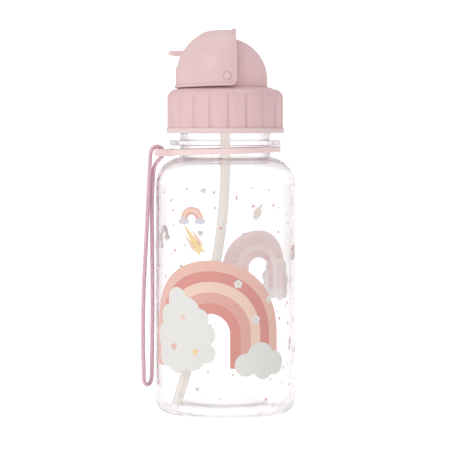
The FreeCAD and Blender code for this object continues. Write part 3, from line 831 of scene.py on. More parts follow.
def grip_radius_at(angles, radii, height):
    """The ring's outer surface with its upright flutes."""
    if radii[0] < SKIRT_RADIUS + 0.3 or height < LIP_TOP:
        return radii
    pitch = 2 * math.pi / FLUTES
    beside = (angles - FLUTE_ANGLE + pitch / 2) % pitch - pitch / 2
    sideways = np.clip(np.abs(beside) * GRIP_RADIUS, 0, FLUTE_RADIUS * 0.999)
    floor = GRIP_RADIUS + FLUTE_RADIUS - FLUTE_DEPTH - np.sqrt(FLUTE_RADIUS**2 - sideways**2)
    rise = min((height - LIP_TOP) / FLUTE_RUN_OUT, 1.0)
    floor = floor + FLUTE_DEPTH * (1 - math.sin(rise * math.pi / 2))
    return either(radii, floor, 0.2)


def make_grip_ring():
    """The fluted grip ring with its lip and round crown."""
    corners = [
        (SKIRT_RADIUS, GRIP_LOW, 0.4),
        (LIP_RADIUS, GRIP_LOW, 0.6),
        (LIP_RADIUS, LIP_TOP, 0.45),
        (GRIP_RADIUS, LIP_TOP, 0.2),
        (GRIP_RADIUS, LIP_TOP + FLUTE_RUN_OUT / 2),
        (GRIP_RADIUS, LIP_TOP + FLUTE_RUN_OUT),
    ]
    corners += arc((GRIP_RADIUS - CROWN_CORNER, CROWN_ARC_HEIGHT), CROWN_CORNER, 0, 78, 24)
    corners += [
        CROWN_EDGE,
        CROWN_STEP,
        (CROWN_STEP[0] - 0.1, COLLAR_TOP, 0.2),
        (CROWN_BORE, COLLAR_TOP, 0.3),
        (CROWN_BORE, DECK_TOP, 0.2),
        (SKIRT_RADIUS - DECK_CORNER, DECK_TOP, 0.3),
        (SKIRT_RADIUS, DECK_TOP - DECK_CORNER, 0.3),
    ]
    points, faces = lathe(corners, True, 720, longest=2.0, radius_at=grip_radius_at)
    ring = add_mesh("grip_ring", points, faces, CAP_PINK, "cap", ["cap_grip_ring"])
    weigh_normals(ring)


make_grip_ring()

PIVOT = 168.4
DOME_RADIUS = 21.2
DOME_CENTRE = 166.8
DOME_WALL = 2.0
TROUGH_HALF = 6.5
TROUGH_BACK = 4.5
TROUGH_FLOOR = 163.3
SKIRT_LOW = 141.0
SKIRT_BORE = 24.3
CAP_THREAD_START = 145.5
CAP_THREAD_SPAN = 1.5 * math.pi
BOSS_RADIUS = 3.5
BOSS_START = 17.0
BOSS_END = 22.7
PIN_RADIUS = 1.5
PIN_INNER_END = 17.5
STEM_RADIUS = 4.5
VALVE_PLACE = -11.5
VALVE_STEM = 1.3


def cap_thread_field(x, y, z, across):
    """The thread inside the skirt, fading at both ends."""
    turn = np.arctan2(y, x) % (2 * math.pi)
    left = np.minimum(turn, CAP_THREAD_SPAN - turn)
    depth = THREAD_DEPTH * np.clip(left / THREAD_FADE, 0.02, 1)
    rise = np.clip((across - SKIRT_BORE + depth) / THREAD_DEPTH, 0, 1)
    half = THREAD_HALF_CREST + (THREAD_HALF_ROOT - THREAD_HALF_CREST) * rise
    sides = np.abs(z - CAP_THREAD_START - THREAD_PITCH * turn / (2 * math.pi)) - half
    faces = both(sides, SKIRT_BORE - depth - across, 0.3)
    return np.maximum(np.maximum(faces, across - SKIRT_BORE - 1), -left * across)


def cap_core_field(x, y, z):
    """The whole core: dome and trough over the threaded skirt."""
    across = np.hypot(x, y)
    reach = np.hypot(across, np.maximum(z - DOME_CENTRE, 0))
    dome = both(reach - DOME_RADIUS, DECK_TOP - 1 - z, 0.3)
    chamfer = (across - SKIRT_RADIUS + z - DECK_TOP + DECK_CORNER) / math.sqrt(2)
    drum = both(disc_field(across, z, SKIRT_RADIUS, SKIRT_LOW, DECK_TOP, 0.4), chamfer, 0.3)
    whole = either(dome, drum, 0.4)
    void = both(reach - DOME_RADIUS + DOME_WALL, DECK_BOTTOM - DOME_WALL - z, 0.3)
    tub_low = (-DOME_RADIUS, -TROUGH_HALF - DOME_WALL, TROUGH_FLOOR - DOME_WALL)
    tub_high = (TROUGH_BACK + DOME_WALL, TROUGH_HALF + DOME_WALL, DOME_CENTRE + 2 * DOME_RADIUS)
    whole = less(whole, less(void, block_field(x, y, z, tub_low, tub_high, 1.5), 0.6), 0.3)
    whole = less(whole, both(across - SKIRT_BORE, z - DECK_BOTTOM, 0.3), 0.25)
    whole = either(whole, cap_thread_field(x, y, z, across), 0.2)
    from_pivot = np.hypot(x, z - PIVOT)
    boss = disc_field(from_pivot, np.abs(y), BOSS_RADIUS, BOSS_START, BOSS_END, 0.3)
    whole = either(whole, boss, 0.5)
    trough_low = (-2 * DOME_RADIUS, -TROUGH_HALF, TROUGH_FLOOR)
    trough_high = (TROUGH_BACK, TROUGH_HALF, DOME_CENTRE + 3 * DOME_RADIUS)
    whole = less(whole, block_field(x, y, z, trough_low, trough_high, 1.2), 0.5)
    whole = less(whole, np.maximum(from_pivot - PIN_RADIUS, PIN_INNER_END - np.abs(y)), 0.1)
    floor_only = np.abs(z - TROUGH_FLOOR) - 2 * DOME_WALL
    whole = less(whole, np.maximum(across - STEM_RADIUS, floor_only), 0.1)
    valve_hole = np.maximum(np.hypot(x - VALVE_PLACE, y) - VALVE_STEM, floor_only)
    return less(whole, valve_hole, 0.1)


def make_core():
    """The cap core: dome, spout trough, deck, threaded skirt and hinge bosses."""
    low = (-SKIRT_RADIUS, -SKIRT_RADIUS, SKIRT_LOW)
    high = (SKIRT_RADIUS, SKIRT_RADIUS, DOME_CENTRE + DOME_RADIUS)
    nodes = ["cap_core"]
    sculpt("cap_core_dome", cap_core_field, low, high, 0.4, LIT_DOME_PINK, "cap", nodes)


make_core()


def make_gasket():
    """The sealing ring on the neck's rim, with rounded edges."""
    low, high = box_mm("cap_gasket")
    middle = (BORE_RADIUS + high.x) / 2
    corners = [
        (BORE_RADIUS, low.z, 0.35),
        (high.x, low.z, 0.35),
        (high.x, high.z, 0.35),
        (middle, high.z, 0.6),
        (BORE_RADIUS, high.z, 0.35),
    ]
    points, faces = lathe(corners, True, 160, longest=0.8)
    add_mesh("sealing_ring", points, faces, WHITE_SEAL, "seal", ["cap_gasket"])


make_gasket()


# ---- Flip hood and pins ----

HOOD_RADIUS = 24.7
HOOD_WALL = 1.5
HOOD_TOP = 191.8
HOOD_TOP_WALL = 1.4
HOOD_LOW = 163.5
HOOD_BACK = 5.0
HOOD_CORNER = 3.4
FRONT_DROP = 0.7
BEAD_WIDTH = 1.4
BEAD_HEIGHT = 0.8
PAD_RADIUS = 24.95
PAD_HALF = 7.0
PAD_LOW = 163.6
PAD_HIGH = 173.3
TAB_HEIGHT = 180.2
TAB_HALF_THICKNESS = 1.2
TAB_HALF_WIDTH = 6.0
TAB_TIP = 28.6
TAB_CORNER = 3.0
TAB_ROOT = 4.0
TAB_EDGE = 1.0
TAB_TAPER = 0.2
PIN_CLEARANCE = 0.05
PIN_HEAD_RADIUS = 1.85
PIN_HEAD_START = 24.0


def hood_field(x, y, z):
    """The hood's shell with its edge bead, front pad, thumb tab and pin holes."""
    reach = np.hypot(np.hypot(x, y), np.maximum(z - PIVOT, 0))
    foot = HOOD_LOW - FRONT_DROP * np.clip(-x / HOOD_RADIUS, 0, 1)
    edge = within([x - HOOD_BACK, foot - z], HOOD_CORNER)
    outer = both(reach - HOOD_RADIUS, z - HOOD_TOP, 1.2)
    whole = both(outer, edge, 0.35)
    proud = both(reach - HOOD_RADIUS - BEAD_HEIGHT, z - HOOD_TOP - BEAD_HEIGHT, 0.8)
    bead = both(both(proud, edge, 0.5), -edge - BEAD_WIDTH, 0.3)
    whole = either(whole, bead, 0.2)
    pad_low = (-PAD_RADIUS - 9, -PAD_HALF, PAD_LOW)
    pad_high = (-HOOD_RADIUS + 2 * HOOD_WALL, PAD_HALF, PAD_HIGH)
    pad = block_field(x, y, z, pad_low, pad_high, 1.4)
    whole = either(whole, both(pad, np.hypot(x, y) - PAD_RADIUS, 0.5), 0.4)
    plan = within([-x - TAB_TIP, np.abs(y) - TAB_HALF_WIDTH], TAB_CORNER)
    plan = np.maximum(plan, x + HOOD_RADIUS - TAB_ROOT)
    taper = TAB_TAPER * np.clip((-x - HOOD_RADIUS) / (TAB_TIP - HOOD_RADIUS), 0, 1)
    tab = within([plan, np.abs(z - TAB_HEIGHT) - TAB_HALF_THICKNESS + taper], TAB_EDGE)
    whole = either(whole, tab, 0.7)
    inside = both(reach - HOOD_RADIUS + HOOD_WALL, z - HOOD_TOP + HOOD_TOP_WALL, 0.8)
    whole = less(whole, inside, 0.3)
    from_pivot = np.hypot(x, z - PIVOT)
    hole = np.maximum(from_pivot - PIN_RADIUS - PIN_CLEARANCE, BOSS_START - np.abs(y))
    recess_radius = PIN_HEAD_RADIUS + PIN_CLEARANCE
    recess_start = PIN_HEAD_START - 2 * PIN_CLEARANCE
    recess = np.maximum(from_pivot - recess_radius, recess_start - np.abs(y))
    return less(less(whole, hole, 0.1), recess, 0.1)


def make_hood():
    """The flip hood."""
    low, high = box_mm("flip_hood")
    low.z -= FRONT_DROP
    nodes = ["flip_hood"]
    sculpt("hood_shell", hood_field, low, high, 0.32, HOOD_PINK, "hood", nodes)


make_hood()


def make_pin(name, node, facing):
    """A headed pin with a faint dimple in its head."""
    corners = [
        (0, PIN_INNER_END),
        (PIN_RADIUS, PIN_INNER_END, 0.25),
        (PIN_RADIUS, PIN_HEAD_START),
        (PIN_HEAD_RADIUS, PIN_HEAD_START, 0.1),
        (PIN_HEAD_RADIUS, HOOD_RADIUS + 0.4, 0.35),
        (1.2, HOOD_RADIUS + 0.5, 0.6),
        (0.5, HOOD_RADIUS + 0.4, 0.4),
        (0, HOOD_RADIUS + 0.38),
    ]
    points, faces = lathe(corners, False, 64)
    across, aside, along = np.array(points).T
    placed = np.stack([across, along * facing, -aside * facing + PIVOT], axis=1)
    pin = add_mesh(name, placed, faces, HOOD_PINK, "cap", [node])
    weigh_normals(pin)


make_pin("pin_near", "hinge_pin_near", -1)
make_pin("pin_far", "hinge_pin_far", 1)


# ---- Mouthpiece, valve and straw ----

FOLD = 171.0
MOUTH_ANGLE = math.radians(165.0)
MOUTH_RADIUS = 3.5
MOUTH_BORE = 1.7
MOUTH_LENGTH = 18.0
MOUTH_LIP_RADIUS = MOUTH_RADIUS + 0.45
MOUTH_LIP_LENGTH = 2.4
PLEAT_DEPTH = 0.16
PLEAT_PITCH = 1.9
PLEATS_END = 6.5
FOLD_BALL = 3.6
STRAW_RADIUS = 2.45
STRAW_BORE = 1.7
STRAW_TOP = box_mm("straw")[1].z
NIPPLE_LOW = 149.0
NIPPLE_RADIUS = 4.2
GROMMET_RADIUS = 7.0
GROMMET_THICKNESS = 1.5


def spout_field(x, y, z):
    """Grommet, stem, folding knuckle and mouth tube, with one bore right through."""
    across = np.hypot(x, y)
    underside = TROUGH_FLOOR - DOME_WALL
    nipple = disc_field(across, z, NIPPLE_RADIUS, NIPPLE_LOW, underside, 0.5)
    collar = disc_field(across, z, GROMMET_RADIUS, underside - GROMMET_THICKNESS, underside, 0.3)
    stem = disc_field(across, z, STEM_RADIUS - 0.02, underside - 0.5, TROUGH_FLOOR, 0.1)
    rising = disc_field(across, z, NIPPLE_RADIUS - 0.1, underside - 0.5, FOLD - 2.4, 0.8)
    knuckle = np.hypot(across, z - FOLD) - FOLD_BALL
    along = x * math.cos(MOUTH_ANGLE) + (z - FOLD) * math.sin(MOUTH_ANGLE)
    aside = np.hypot(-x * math.sin(MOUTH_ANGLE) + (z - FOLD) * math.cos(MOUTH_ANGLE), y)
    fading = np.clip((PLEATS_END - along) / 2, 0, 1)
    pleats = PLEAT_DEPTH * np.cos(2 * math.pi * along / PLEAT_PITCH) * fading
    tube = disc_field(aside, along, MOUTH_RADIUS, 0, MOUTH_LENGTH, 0.8) - pleats * (along > 1)
    lip_start = MOUTH_LENGTH - MOUTH_LIP_LENGTH
    lip = disc_field(aside, along, MOUTH_LIP_RADIUS, lip_start, MOUTH_LENGTH, 1.0)
    whole = either(either(nipple, collar, 0.5), either(stem, rising, 0.3), 0.4)
    whole = either(either(whole, knuckle, 1.0), either(tube, lip, 0.9), 1.0)
    bore = np.maximum(across - MOUTH_BORE, z - FOLD)
    bore = either(bore, np.maximum(aside - MOUTH_BORE, -along), 0.6)
    seat = np.maximum(across - STRAW_RADIUS, z - STRAW_TOP)
    return less(whole, either(bore, seat, 0.2), 0.3)


def make_spout():
    """The one-piece silicone mouthpiece, bent over at a knuckle just above its stem."""
    low, high = (-21.0, -GROMMET_RADIUS, NIPPLE_LOW), (GROMMET_RADIUS, GROMMET_RADIUS, 180.5)
    nodes = ["spout_base", "spout_tube"]
    spout = sculpt("mouthpiece", spout_field, low, high, 0.34, MILKY, None, nodes)
    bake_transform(spout)


make_spout()


def make_valve():
    """The vent plug in the trough floor, with a low dimpled dome."""
    under = TROUGH_FLOOR - DOME_WALL
    corners = [
        (0, TROUGH_FLOOR - 4.5),
        (0.65, TROUGH_FLOOR - 4.5, 0.2),
        (1.9, under - 0.7, 0.2),
        (1.9, under, 0.15),
        (VALVE_STEM, under),
        (VALVE_STEM, TROUGH_FLOOR),
        (2.4, TROUGH_FLOOR, 0.1),
        (1.3, TROUGH_FLOOR + 0.7, 0.5),
        (0.45, TROUGH_FLOOR + 0.7, 0.1),
        (0, TROUGH_FLOOR + 0.45),
    ]
    points, faces = lathe(corners, False, 56)
    placed = np.array(points) + (VALVE_PLACE, 0, 0)
    add_mesh("vent_plug", placed, faces, WHITE_SEAL, "cap", ["air_valve"])


make_valve()


STRAW_HEADING = math.radians(212.2)
STRAW_BEND = math.radians(20.0)
STRAW_BEND_RADIUS = 230.0
STRAW_BEND_START = 126.0
STRAW_END_LENGTH = 44.5
STRAW_EASE = 0.2
STRAW_SIDES = 48


def straw_line(longest):
    """The straw's middle line: straight, one long bend, straight."""
    flat = [(0.0, height) for height in np.linspace(STRAW_TOP, STRAW_BEND_START, 8)]
    for angle in np.linspace(0, STRAW_BEND, int(STRAW_BEND_RADIUS * STRAW_BEND / longest))[1:]:
        out = STRAW_BEND_RADIUS * (1 - math.cos(angle))
        flat.append((out, STRAW_BEND_START - STRAW_BEND_RADIUS * math.sin(angle)))
    corner = flat[-1]
    for gone in np.linspace(0, STRAW_END_LENGTH, 8)[1:]:
        place = (corner[0] + gone * math.sin(STRAW_BEND), corner[1] - gone * math.cos(STRAW_BEND))
        flat.append(place)
    ahead, aside = math.cos(STRAW_HEADING), math.sin(STRAW_HEADING)
    return [Vector((out * ahead, out * aside, up)) for out, up in flat]


def make_straw():
    """The bent straw, a tube with softened ends."""
    line = straw_line(longest=3.0)
    frames = travelling_frames(line)
    ease = STRAW_EASE
    top, foot = line[0], line[-1]
    down, out = (line[1] - top).normalized(), (foot - line[-2]).normalized()
    last = len(line) - 1
    stations = [(top, 0, STRAW_RADIUS - ease), (top + down * ease, 0, STRAW_RADIUS)]
    stations += [(place, number, STRAW_RADIUS) for number, place in enumerate(line)][1:-1]
    stations += [(foot - out * ease, last, STRAW_RADIUS), (foot, last, STRAW_RADIUS - ease)]
    stations += [(foot, last, STRAW_BORE + ease / 2), (foot - out * ease / 2, last, STRAW_BORE)]
    stations += [(place, number, STRAW_BORE) for number, place in enumerate(line)][-2:0:-1]
    stations += [(top + down * ease / 2, 0, STRAW_BORE), (top, 0, STRAW_BORE + ease / 2)]
    points = []
    for place, number, radius in stations:
        side, up = frames[number]
        for column in range(STRAW_SIDES):
            angle = 2 * math.pi * column / STRAW_SIDES
            points.append(place + (side * math.cos(angle) + up * math.sin(angle)) * radius)
    faces = tube_faces(len(stations), STRAW_SIDES, closed=True)
    straw = add_mesh("drinking_straw", points, faces, STRAW, "cap", ["straw"])
    weigh_normals(straw)


make_straw()


# ---- Strap band ----

BAND_LEVEL = 131.35
BAND_TILT = math.radians(-1.6)
BAND_INNER = 25.7
BAND_OUTER = 28.0
BAND_HALF = 1.5
STRAP_TAB_HALF_WIDTH = 4.0
STRAP_TAB_HALF_HEIGHT = 1.9
STRAP_TAB_END = 35.7
EYELET_INNER = 29.9
EYELET_OUTER = 32.9
EYELET_HALF = 2.2


def band_field(x, y, z):
    """The band with its eyelet tab, in the band's own level frame."""
    height = z - BAND_LEVEL
    level_x = x * math.cos(BAND_TILT) - height * math.sin(BAND_TILT)
    level_z = x * math.sin(BAND_TILT) + height * math.cos(BAND_TILT)
    across = np.hypot(level_x, y)
    middle, half = (BAND_INNER + BAND_OUTER) / 2, (BAND_OUTER - BAND_INNER) / 2
    ring = disc_field(np.abs(across - middle), level_z, half, -BAND_HALF, BAND_HALF, 0.7)
    tab_low = (-STRAP_TAB_END, -STRAP_TAB_HALF_WIDTH, -STRAP_TAB_HALF_HEIGHT)
    tab_high = (-BAND_INNER + 1, STRAP_TAB_HALF_WIDTH, STRAP_TAB_HALF_HEIGHT)
    tab = both(block_field(level_x, y, level_z, tab_low, tab_high, 0.95), BAND_INNER - across, 0.4)
    eye_low = (-EYELET_OUTER, -EYELET_HALF, -9)
    eye_high = (-EYELET_INNER, EYELET_HALF, 9)
    eye = block_field(level_x, y, level_z, eye_low, eye_high, 0.6)
    return less(either(ring, tab, 0.8), eye, 0.6)


def make_band():
    """The moulded strap band."""
    low, high = box_mm("strap_band")
    name, nodes = "strap_band_moulding", ["strap_band"]
    sculpt(name, band_field, low, high, 0.34, BAND_PINK, "strap", nodes)


make_band()


# ---- Print ----
# Shapes are drawn on the unrolled wall: across is the arc length from the front, up the height.
# A place is (across, up), and a level is the ink's order on the wall, 0 being next to it.

PRINT_GAP = 0.03
INK_THICKNESS = 0.04
INK_STEP = 0.06
INKS = {
    "coral": (209, 142, 134),
    "salmon": (224, 181, 169),
    "rose": (216, 163, 154),
    "cream": (229, 197, 181),
    "dusty": (222, 172, 166),
    "white": (220, 218, 214),
    "gold": (232, 204, 152),
    "lilac": (206, 200, 208),
}
# The backing is the back of the ink, seen through the wall; it is painted paler than the ink,
# partly as painted light for the light from behind that shines through the thin ink.
BACKING = (237, 230, 230)
BACKING_SHARE = 0.68
layers = {}


def disc(across, up, centre, radius):
    """A flat disc."""
    return np.hypot(across - centre[0], up - centre[1]) - radius


def square(place, reach):
    """The lowest and highest corners of a square about a place."""
    return (place[0] - reach, place[1] - reach), (place[0] + reach, place[1] + reach)


def draw(ink, level, low, high, step, shape):
    """Add a shape, given as a field of across and up, to an ink's layer."""
    columns = np.arange(low[0] - step, high[0] + 2 * step, step)
    rows = np.arange(low[1] - step, high[1] + 2 * step, step)
    across, up = np.meshgrid(columns, rows, indexing="ij")
    values = shape(across, up)
    values[values == 0] = 1e-9
    layer = layers.setdefault((ink, level), {"points": [], "faces": [], "rims": []})
    numbers = {}

    def corner(i, j):
        key = (i, j)
        if key not in numbers:
            numbers[key] = len(layer["points"])
            layer["points"].append((columns[i], rows[j]))
        return numbers[key]

    def crossing(first, second):
        key = (min(first, second), max(first, second))
        if key not in numbers:
            (i, j), (k, m) = key
            share = values[i, j] / (values[i, j] - values[k, m])
            place = [
                columns[i] + (columns[k] - columns[i]) * share,
                rows[j] + (rows[m] - rows[j]) * share,
            ]
            for _ in range(2):
                tiny = step / 50
                probe = np.array([place, (place[0] + tiny, place[1]), (place[0], place[1] + tiny)])
                here, right, above = shape(probe[:, 0], probe[:, 1])
                slope = ((right - here) / tiny, (above - here) / tiny)
                size = max(slope[0] ** 2 + slope[1] ** 2, 0.5)
                for axis in (0, 1):
                    place[axis] -= max(-step / 4, min(step / 4, here * slope[axis] / size))
            numbers[key] = len(layer["points"])
            layer["points"].append(tuple(place))
        return numbers[key]

    for i, j in np.ndindex(len(columns) - 1, len(rows) - 1):
        loop = [(i, j), (i + 1, j), (i + 1, j + 1), (i, j + 1)]
        inside = [values[place] < 0 for place in loop]
        if not any(inside):
            continue
        face = []
        leaving = None
        for number in range(4):
            here, ahead = loop[number], loop[(number + 1) % 4]
            if inside[number]:
                face.append(corner(*here))
            if inside[number] != inside[(number + 1) % 4]:
                point = crossing(here, ahead)
                face.append(point)
                if inside[number]:
                    leaving = point
                elif leaving is not None:
                    layer["rims"].append((leaving, point))
                    leaving = None
                else:
                    first_entry = point
        if leaving is not None:
            layer["rims"].append((leaving, first_entry))
        layer["faces"].append(face)


def make_prints():
    """Each ink layer as one thin closed skin wrapped on the wall, with a pale backing that is
    partly painted light.
    """
    for (ink, level), layer in layers.items():
        base = BOTTLE_RADIUS + PRINT_GAP + INK_STEP * level
        flat = np.array(layer["points"])
        count = len(flat)
        angle = flat[:, 0] / BOTTLE_RADIUS
        points = []
        for radius in (base, base + INK_THICKNESS):
            wrapped = [radius * np.sin(angle), -radius * np.cos(angle), flat[:, 1]]
            points += list(np.stack(wrapped, axis=1))
        under = [face[::-1] for face in layer["faces"]]
        over = [[number + count for number in face] for face in layer["faces"]]
        rims = [[start, end, end + count, start + count] for start, end in layer["rims"]]
        faces = over + rims + under
        name = "print_%s_%d" % (ink, level)
        front = printed_ink(name, INKS[ink])
        piece = add_mesh(name, points, faces, front, "bottle")
        share = BACKING_SHARE
        pale = tuple(c * (1 - share) + b * share for c, b in zip(INKS[ink], BACKING))
        piece.data.materials.append(printed_ink(name + "_back", pale))
        backs = [0] * (len(over) + len(rims)) + [1] * len(under)
        piece.data.polygons.foreach_set("material_index", backs)
        piece.data.polygons.foreach_set("use_smooth", [False] * len(backs))


def rainbow(centre, outer, inner, foot, inks, level, step):
    """An arch of bands on straight legs that end at foot."""
    width = (outer - inner) / len(inks)
    for number, ink in enumerate(inks):
        far = outer - number * width

        def band(across, up):
            reach = np.hypot(across - centre[0], np.maximum(up - centre[1], 0))
            return np.maximum(np.abs(reach - far + width / 2) - width / 2, foot - up)

        low, high = (centre[0] - far, foot), (centre[0] + far, centre[1] + far)
        draw(ink, level, low, high, step, band)


def cloud(place, scale, puffs, ink, level, step):
    """A cloud made of round puffs given as (across, up, radius) for scale 1."""

    def heap(across, up):
        field = None
        for right, rise, radius in puffs:
            middle = (place[0] + right * scale, place[1] + rise * scale)
            puff = disc(across, up, middle, radius * scale)
            field = puff if field is None else either(field, puff, 0.6 * scale)
        return field

    spread = [max(abs(p[axis]) + p[2] for p in puffs) * scale + 1 for axis in (0, 1)]
    low = (place[0] - spread[0], place[1] - spread[1])
    high = (place[0] + spread[0], place[1] + spread[1])
    draw(ink, level, low, high, step, heap)


def star(place, radius, tilt, ink, level):
    """A five-pointed star with soft points."""

    def points(across, up):
        right, rise = across - place[0], up - place[1]
        turn = np.arctan2(rise, right) - tilt
        beside = np.abs((turn + math.pi / 5) % (2 * math.pi / 5) - math.pi / 5)
        reach = np.hypot(right, rise)
        notch = 0.46 * radius
        facing = Vector((notch * math.sin(math.pi / 5), radius - notch * math.cos(math.pi / 5)))
        facing.normalize()
        return reach * (np.cos(beside) * facing.x + np.sin(beside) * facing.y) - radius * facing.x

    draw(ink, level, *square(place, radius * 1.2), radius / 12, points)


def heart(place, size, tilt, ink, level):
    """A plump heart."""

    def lobes(across, up):
        right, rise = (across - place[0]) / size, (up - place[1]) / size
        right, rise = (
            np.abs(right * math.cos(tilt) + rise * math.sin(tilt)),
            rise * math.cos(tilt) - right * math.sin(tilt),
        )
        lobe = np.hypot(right - 0.42, rise - 0.42) - 0.6
        point = (right + np.abs(rise) - 0.84) / math.sqrt(2)
        return np.minimum(lobe, point) * size

    draw(ink, level, *square(place, size * 1.5), size / 9, lobes)


def flower(place, radius, level):
    """A white five-petalled flower with a coral middle."""

    def petals(across, up):
        discs = []
        for petal in range(5):
            angle = math.radians(90 + 72 * petal)
            out = 0.55 * radius
            middle = (place[0] + out * math.cos(angle), place[1] + out * math.sin(angle))
            discs.append(disc(across, up, middle, radius * 0.42))
        return np.minimum.reduce(discs)

    draw("white", level, *square(place, radius), radius / 9, petals)
    dot(place, radius * 0.2, "salmon", level + 1)


def dot(place, radius, ink, level=0):
    """A small round spot."""

    def spot(across, up):
        return disc(across, up, place, radius)

    draw(ink, level, *square(place, radius), radius / 4, spot)


# A falling star's streaks: place beside the middle one, share of its length, width and ink.
STREAKS = [(0, 1.0, 0.55, "gold"), (-0.62, 0.7, 0.3, "cream"), (0.62, 0.74, 0.3, "cream")]


def falling_star(place, radius, lean, length):
    """A gold star with three tapering streaks behind it."""
    star(place, radius, lean, "gold", 1)
    for offset, share, width, ink in STREAKS:

        def streak(across, up):
            right, rise = across - place[0], up - place[1]
            along = right * math.cos(lean) + rise * math.sin(lean)
            aside = np.abs(rise * math.cos(lean) - right * math.sin(lean) - offset * radius)
            taper = np.clip(1 - (along - radius * 0.4) / (length * share), 0, 1)
            return np.maximum(aside - radius * width * taper**0.8, radius * 0.4 - along)

        far = length + radius * 2
        low, high = (place[0] - far, place[1] - radius), (place[0] + radius, place[1] + far)
        draw(ink, 0, low, high, 0.4, streak)


# Clouds are made of round puffs: (across, up, radius) for a scale of 1.
BIG_CLOUD = [
    (-11.0, -10.0, 6.5),
    (-3.0, -12.0, 7.0),
    (6.0, -11.0, 6.5),
    (13.0, -8.5, 5.0),
    (-13.5, -1.0, 6.0),
    (-5.0, -2.0, 9.0),
    (5.0, 0.0, 9.0),
    (12.5, 0.5, 5.5),
    (-9.0, 8.5, 6.5),
    (2.0, 11.0, 8.0),
    (9.0, 8.0, 5.5),
    (-3.5, 17.5, 6.0),
]
SMALL_CLOUD = [(-6.0, -1.0, 4.2), (0.0, 1.6, 5.6), (6.2, -0.6, 4.4), (1.0, -2.0, 4.4)]
ARCH = (-9, 42)
ARCH_INKS = ["salmon", "coral", "cream", "rose", "coral"]


def front_motif():
    """The large rainbow with its clouds, flowers and falling star."""
    rainbow(ARCH, 36, 10, 25, ARCH_INKS, 0, 0.8)
    cloud((-24, 41), 1.0, BIG_CLOUD, "white", 1, 0.7)
    cloud((17, 28), 1.35, SMALL_CLOUD, "white", 1, 0.6)
    flower((5.0, 66.5), 2.3, 1)
    flower((14.0, 49.0), 2.5, 1)
    flower((21.5, 58.5), 1.9, 1)
    star((-16.5, 33.0), 2.3, math.radians(90), "gold", 2)
    heart((-29.5, 34.5), 2.0, 0.2, "salmon", 2)
    heart((-23.5, 49.5), 1.5, -0.25, "cream", 2)
    falling_star((-14.5, 83.5), 3.6, math.radians(125), 13.0)


def rear_motif():
    """A smaller rainbow behind, seen through the bottle."""
    rainbow((90, 70), 20, 6, 60, ["salmon", "rose", "cream", "coral"], 0, 0.7)
    cloud((77, 66), 0.62, BIG_CLOUD, "white", 1, 0.5)
    cloud((103, 61), 0.8, SMALL_CLOUD, "white", 1, 0.5)
    flower((97, 83), 1.6, 1)
    falling_star((92, 97), 2.6, math.radians(120), 8.0)


LITTLE_RAINBOWS = [
    (-18.5, 98.0, 1.0),
    (48.0, 79.0, 0.9),
    (-62.0, 84.0, 0.9),
    (128.0, 42.0, 1.0),
    (150.0, 88.0, 0.9),
    (58.0, 32.0, 0.9),
]


def little_rainbow(place, scale):
    """A small three-band rainbow with a cloud at each foot."""
    inks = ["salmon", "cream", "rose"]
    rainbow(place, 6.2 * scale, 2.4 * scale, place[1] - 0.6 * scale, inks, 0, 0.35 * scale)
    for side, share in ((-4.6, 0.30), (4.6, 0.26)):
        foot = (place[0] + side * scale, place[1] - 0.8 * scale)
        cloud(foot, share * scale, SMALL_CLOUD, "lilac", 1, 0.25)


# The room that the motifs take, as circles of (across, up, radius).
MOTIF_ROOM = [
    (90, 74, 27),
    (-18, 98, 9),
    (48, 79, 8),
    (-62, 84, 8),
    (128, 42, 8),
    (150, 88, 8),
    (58, 32, 8),
    (-17, 88, 12),
    (90, 98, 10),
]
ARCH_CLEAR = 38.5
ARCH_FOOT = 19.5
DOT_TRIES = 900
DOT_SPACING = 9.5


def scattered_dots():
    """Small spots and hearts all round, clear of the motifs and of each other."""
    random.seed(11)
    taken = list(MOTIF_ROOM)
    round_wall = 2 * math.pi * BOTTLE_RADIUS
    for _ in range(DOT_TRIES):
        place = (random.uniform(-60, round_wall - 60), random.uniform(9, 112))
        size = random.uniform(0.55, 0.8)
        pick = random.random()
        gaps = []
        for right, rise, clear in taken:
            sideways = abs(place[0] - right)
            sideways = min(sideways, round_wall - sideways)
            gaps.append(math.hypot(sideways, place[1] - rise) - clear)
        over_arch = disc(place[0], max(place[1], ARCH[1]), ARCH, ARCH_CLEAR) < 0
        if min(gaps) < 0 or (over_arch and place[1] > ARCH_FOOT):
            continue
        taken.append((*place, DOT_SPACING))
        if pick < 0.14:
            heart(place, size * 1.9, (pick - 0.07) * 6, "lilac", 0)
        else:
            dot(place, size, "rose" if pick < 0.45 else "dusty" if pick < 0.65 else "lilac")


front_motif()
rear_motif()
for right, rise, scale in LITTLE_RAINBOWS:
    little_rainbow((right, rise), scale)
scattered_dots()
make_prints()


# ---- Floor, world and lights ----

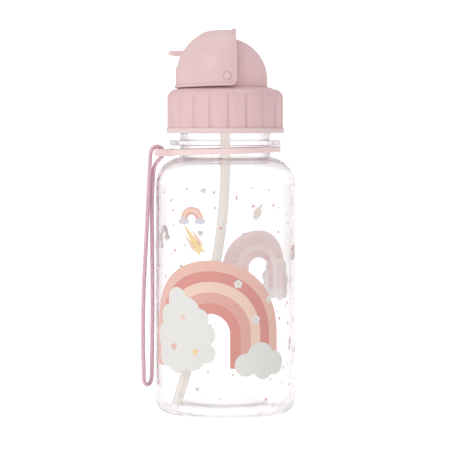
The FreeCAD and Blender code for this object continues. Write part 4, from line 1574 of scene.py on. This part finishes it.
# Each glow is a strength for the rays that light the object, then one for the rays that are seen.
SEEN_RAYS = ("Is Camera Ray", "Is Transmission Ray")
FLOOR_GLOW = (0.75, 0.8)
WORLD_GLOW = (0.62, 1.36)
FLOOR_HALF = 6.0
FLOOR_CELLS = 8
# Name, place and target in metres, size in metres, power in watts.
LIGHTS = [
    ("key", (-0.9, -0.88, 0.78), (0, 0, 0.12), 0.7, 6.0),
    ("fill", (0.9, -0.7, 0.6), (0, 0, 0.12), 0.8, 0.35),
    ("top", (0.1, 0.1, 1.3), (0, 0, 0.1), 0.8, 3.0),
]


def make_floor():
    """A plain white floor that glows, so that it meets the white background."""
    mesh = bpy.data.meshes.new("floor")
    side = FLOOR_CELLS + 1
    marks = [FLOOR_HALF * (2 * number / FLOOR_CELLS - 1) for number in range(side)]
    points = [(x, y, 0) for y in marks for x in marks]
    starts = [row * side + column for row in range(FLOOR_CELLS) for column in range(FLOOR_CELLS)]
    faces = [[start, start + 1, start + side + 1, start + side] for start in starts]
    mesh.from_pydata(points, [], faces)
    nodes = new_material("floor")
    white = nodes.principled(
        Base_Color=(0.5, 0.5, 0.5, 1),
        Roughness=0.9,
        Emission_Color=(1, 1, 1, 1),
        Emission_Strength=nodes.span(nodes.rays(*SEEN_RAYS), *FLOOR_GLOW),
    )
    mesh.materials.append(white)
    floor = bpy.data.objects.new("floor", mesh)
    bpy.context.scene.collection.objects.link(floor)


def make_world():
    """White seen directly or through the bottle, softer where it lights the object."""
    nodes = Nodes(bpy.data.worlds.new("studio"), "ShaderNodeOutputWorld")
    strength = nodes.span(nodes.rays(*SEEN_RAYS), *WORLD_GLOW)
    sky = nodes.add("ShaderNodeBackground", Color=(1, 1, 1, 1), Strength=strength)
    bpy.context.scene.world = nodes.finish(sky.outputs[0])


def add_light(name, place, target, size, power):
    """A square soft light."""
    lamp = bpy.data.lights.new(name, "AREA")
    lamp.size = size
    lamp.energy = power
    light = bpy.data.objects.new(name, lamp)
    light.location = place
    light.rotation_euler = (Vector(target) - Vector(place)).to_track_quat("-Z", "Y").to_euler()
    bpy.context.scene.collection.objects.link(light)


make_floor()
make_world()
for light in LIGHTS:
    add_light(*light)
bpy.context.scene.view_settings.view_transform = "Standard"
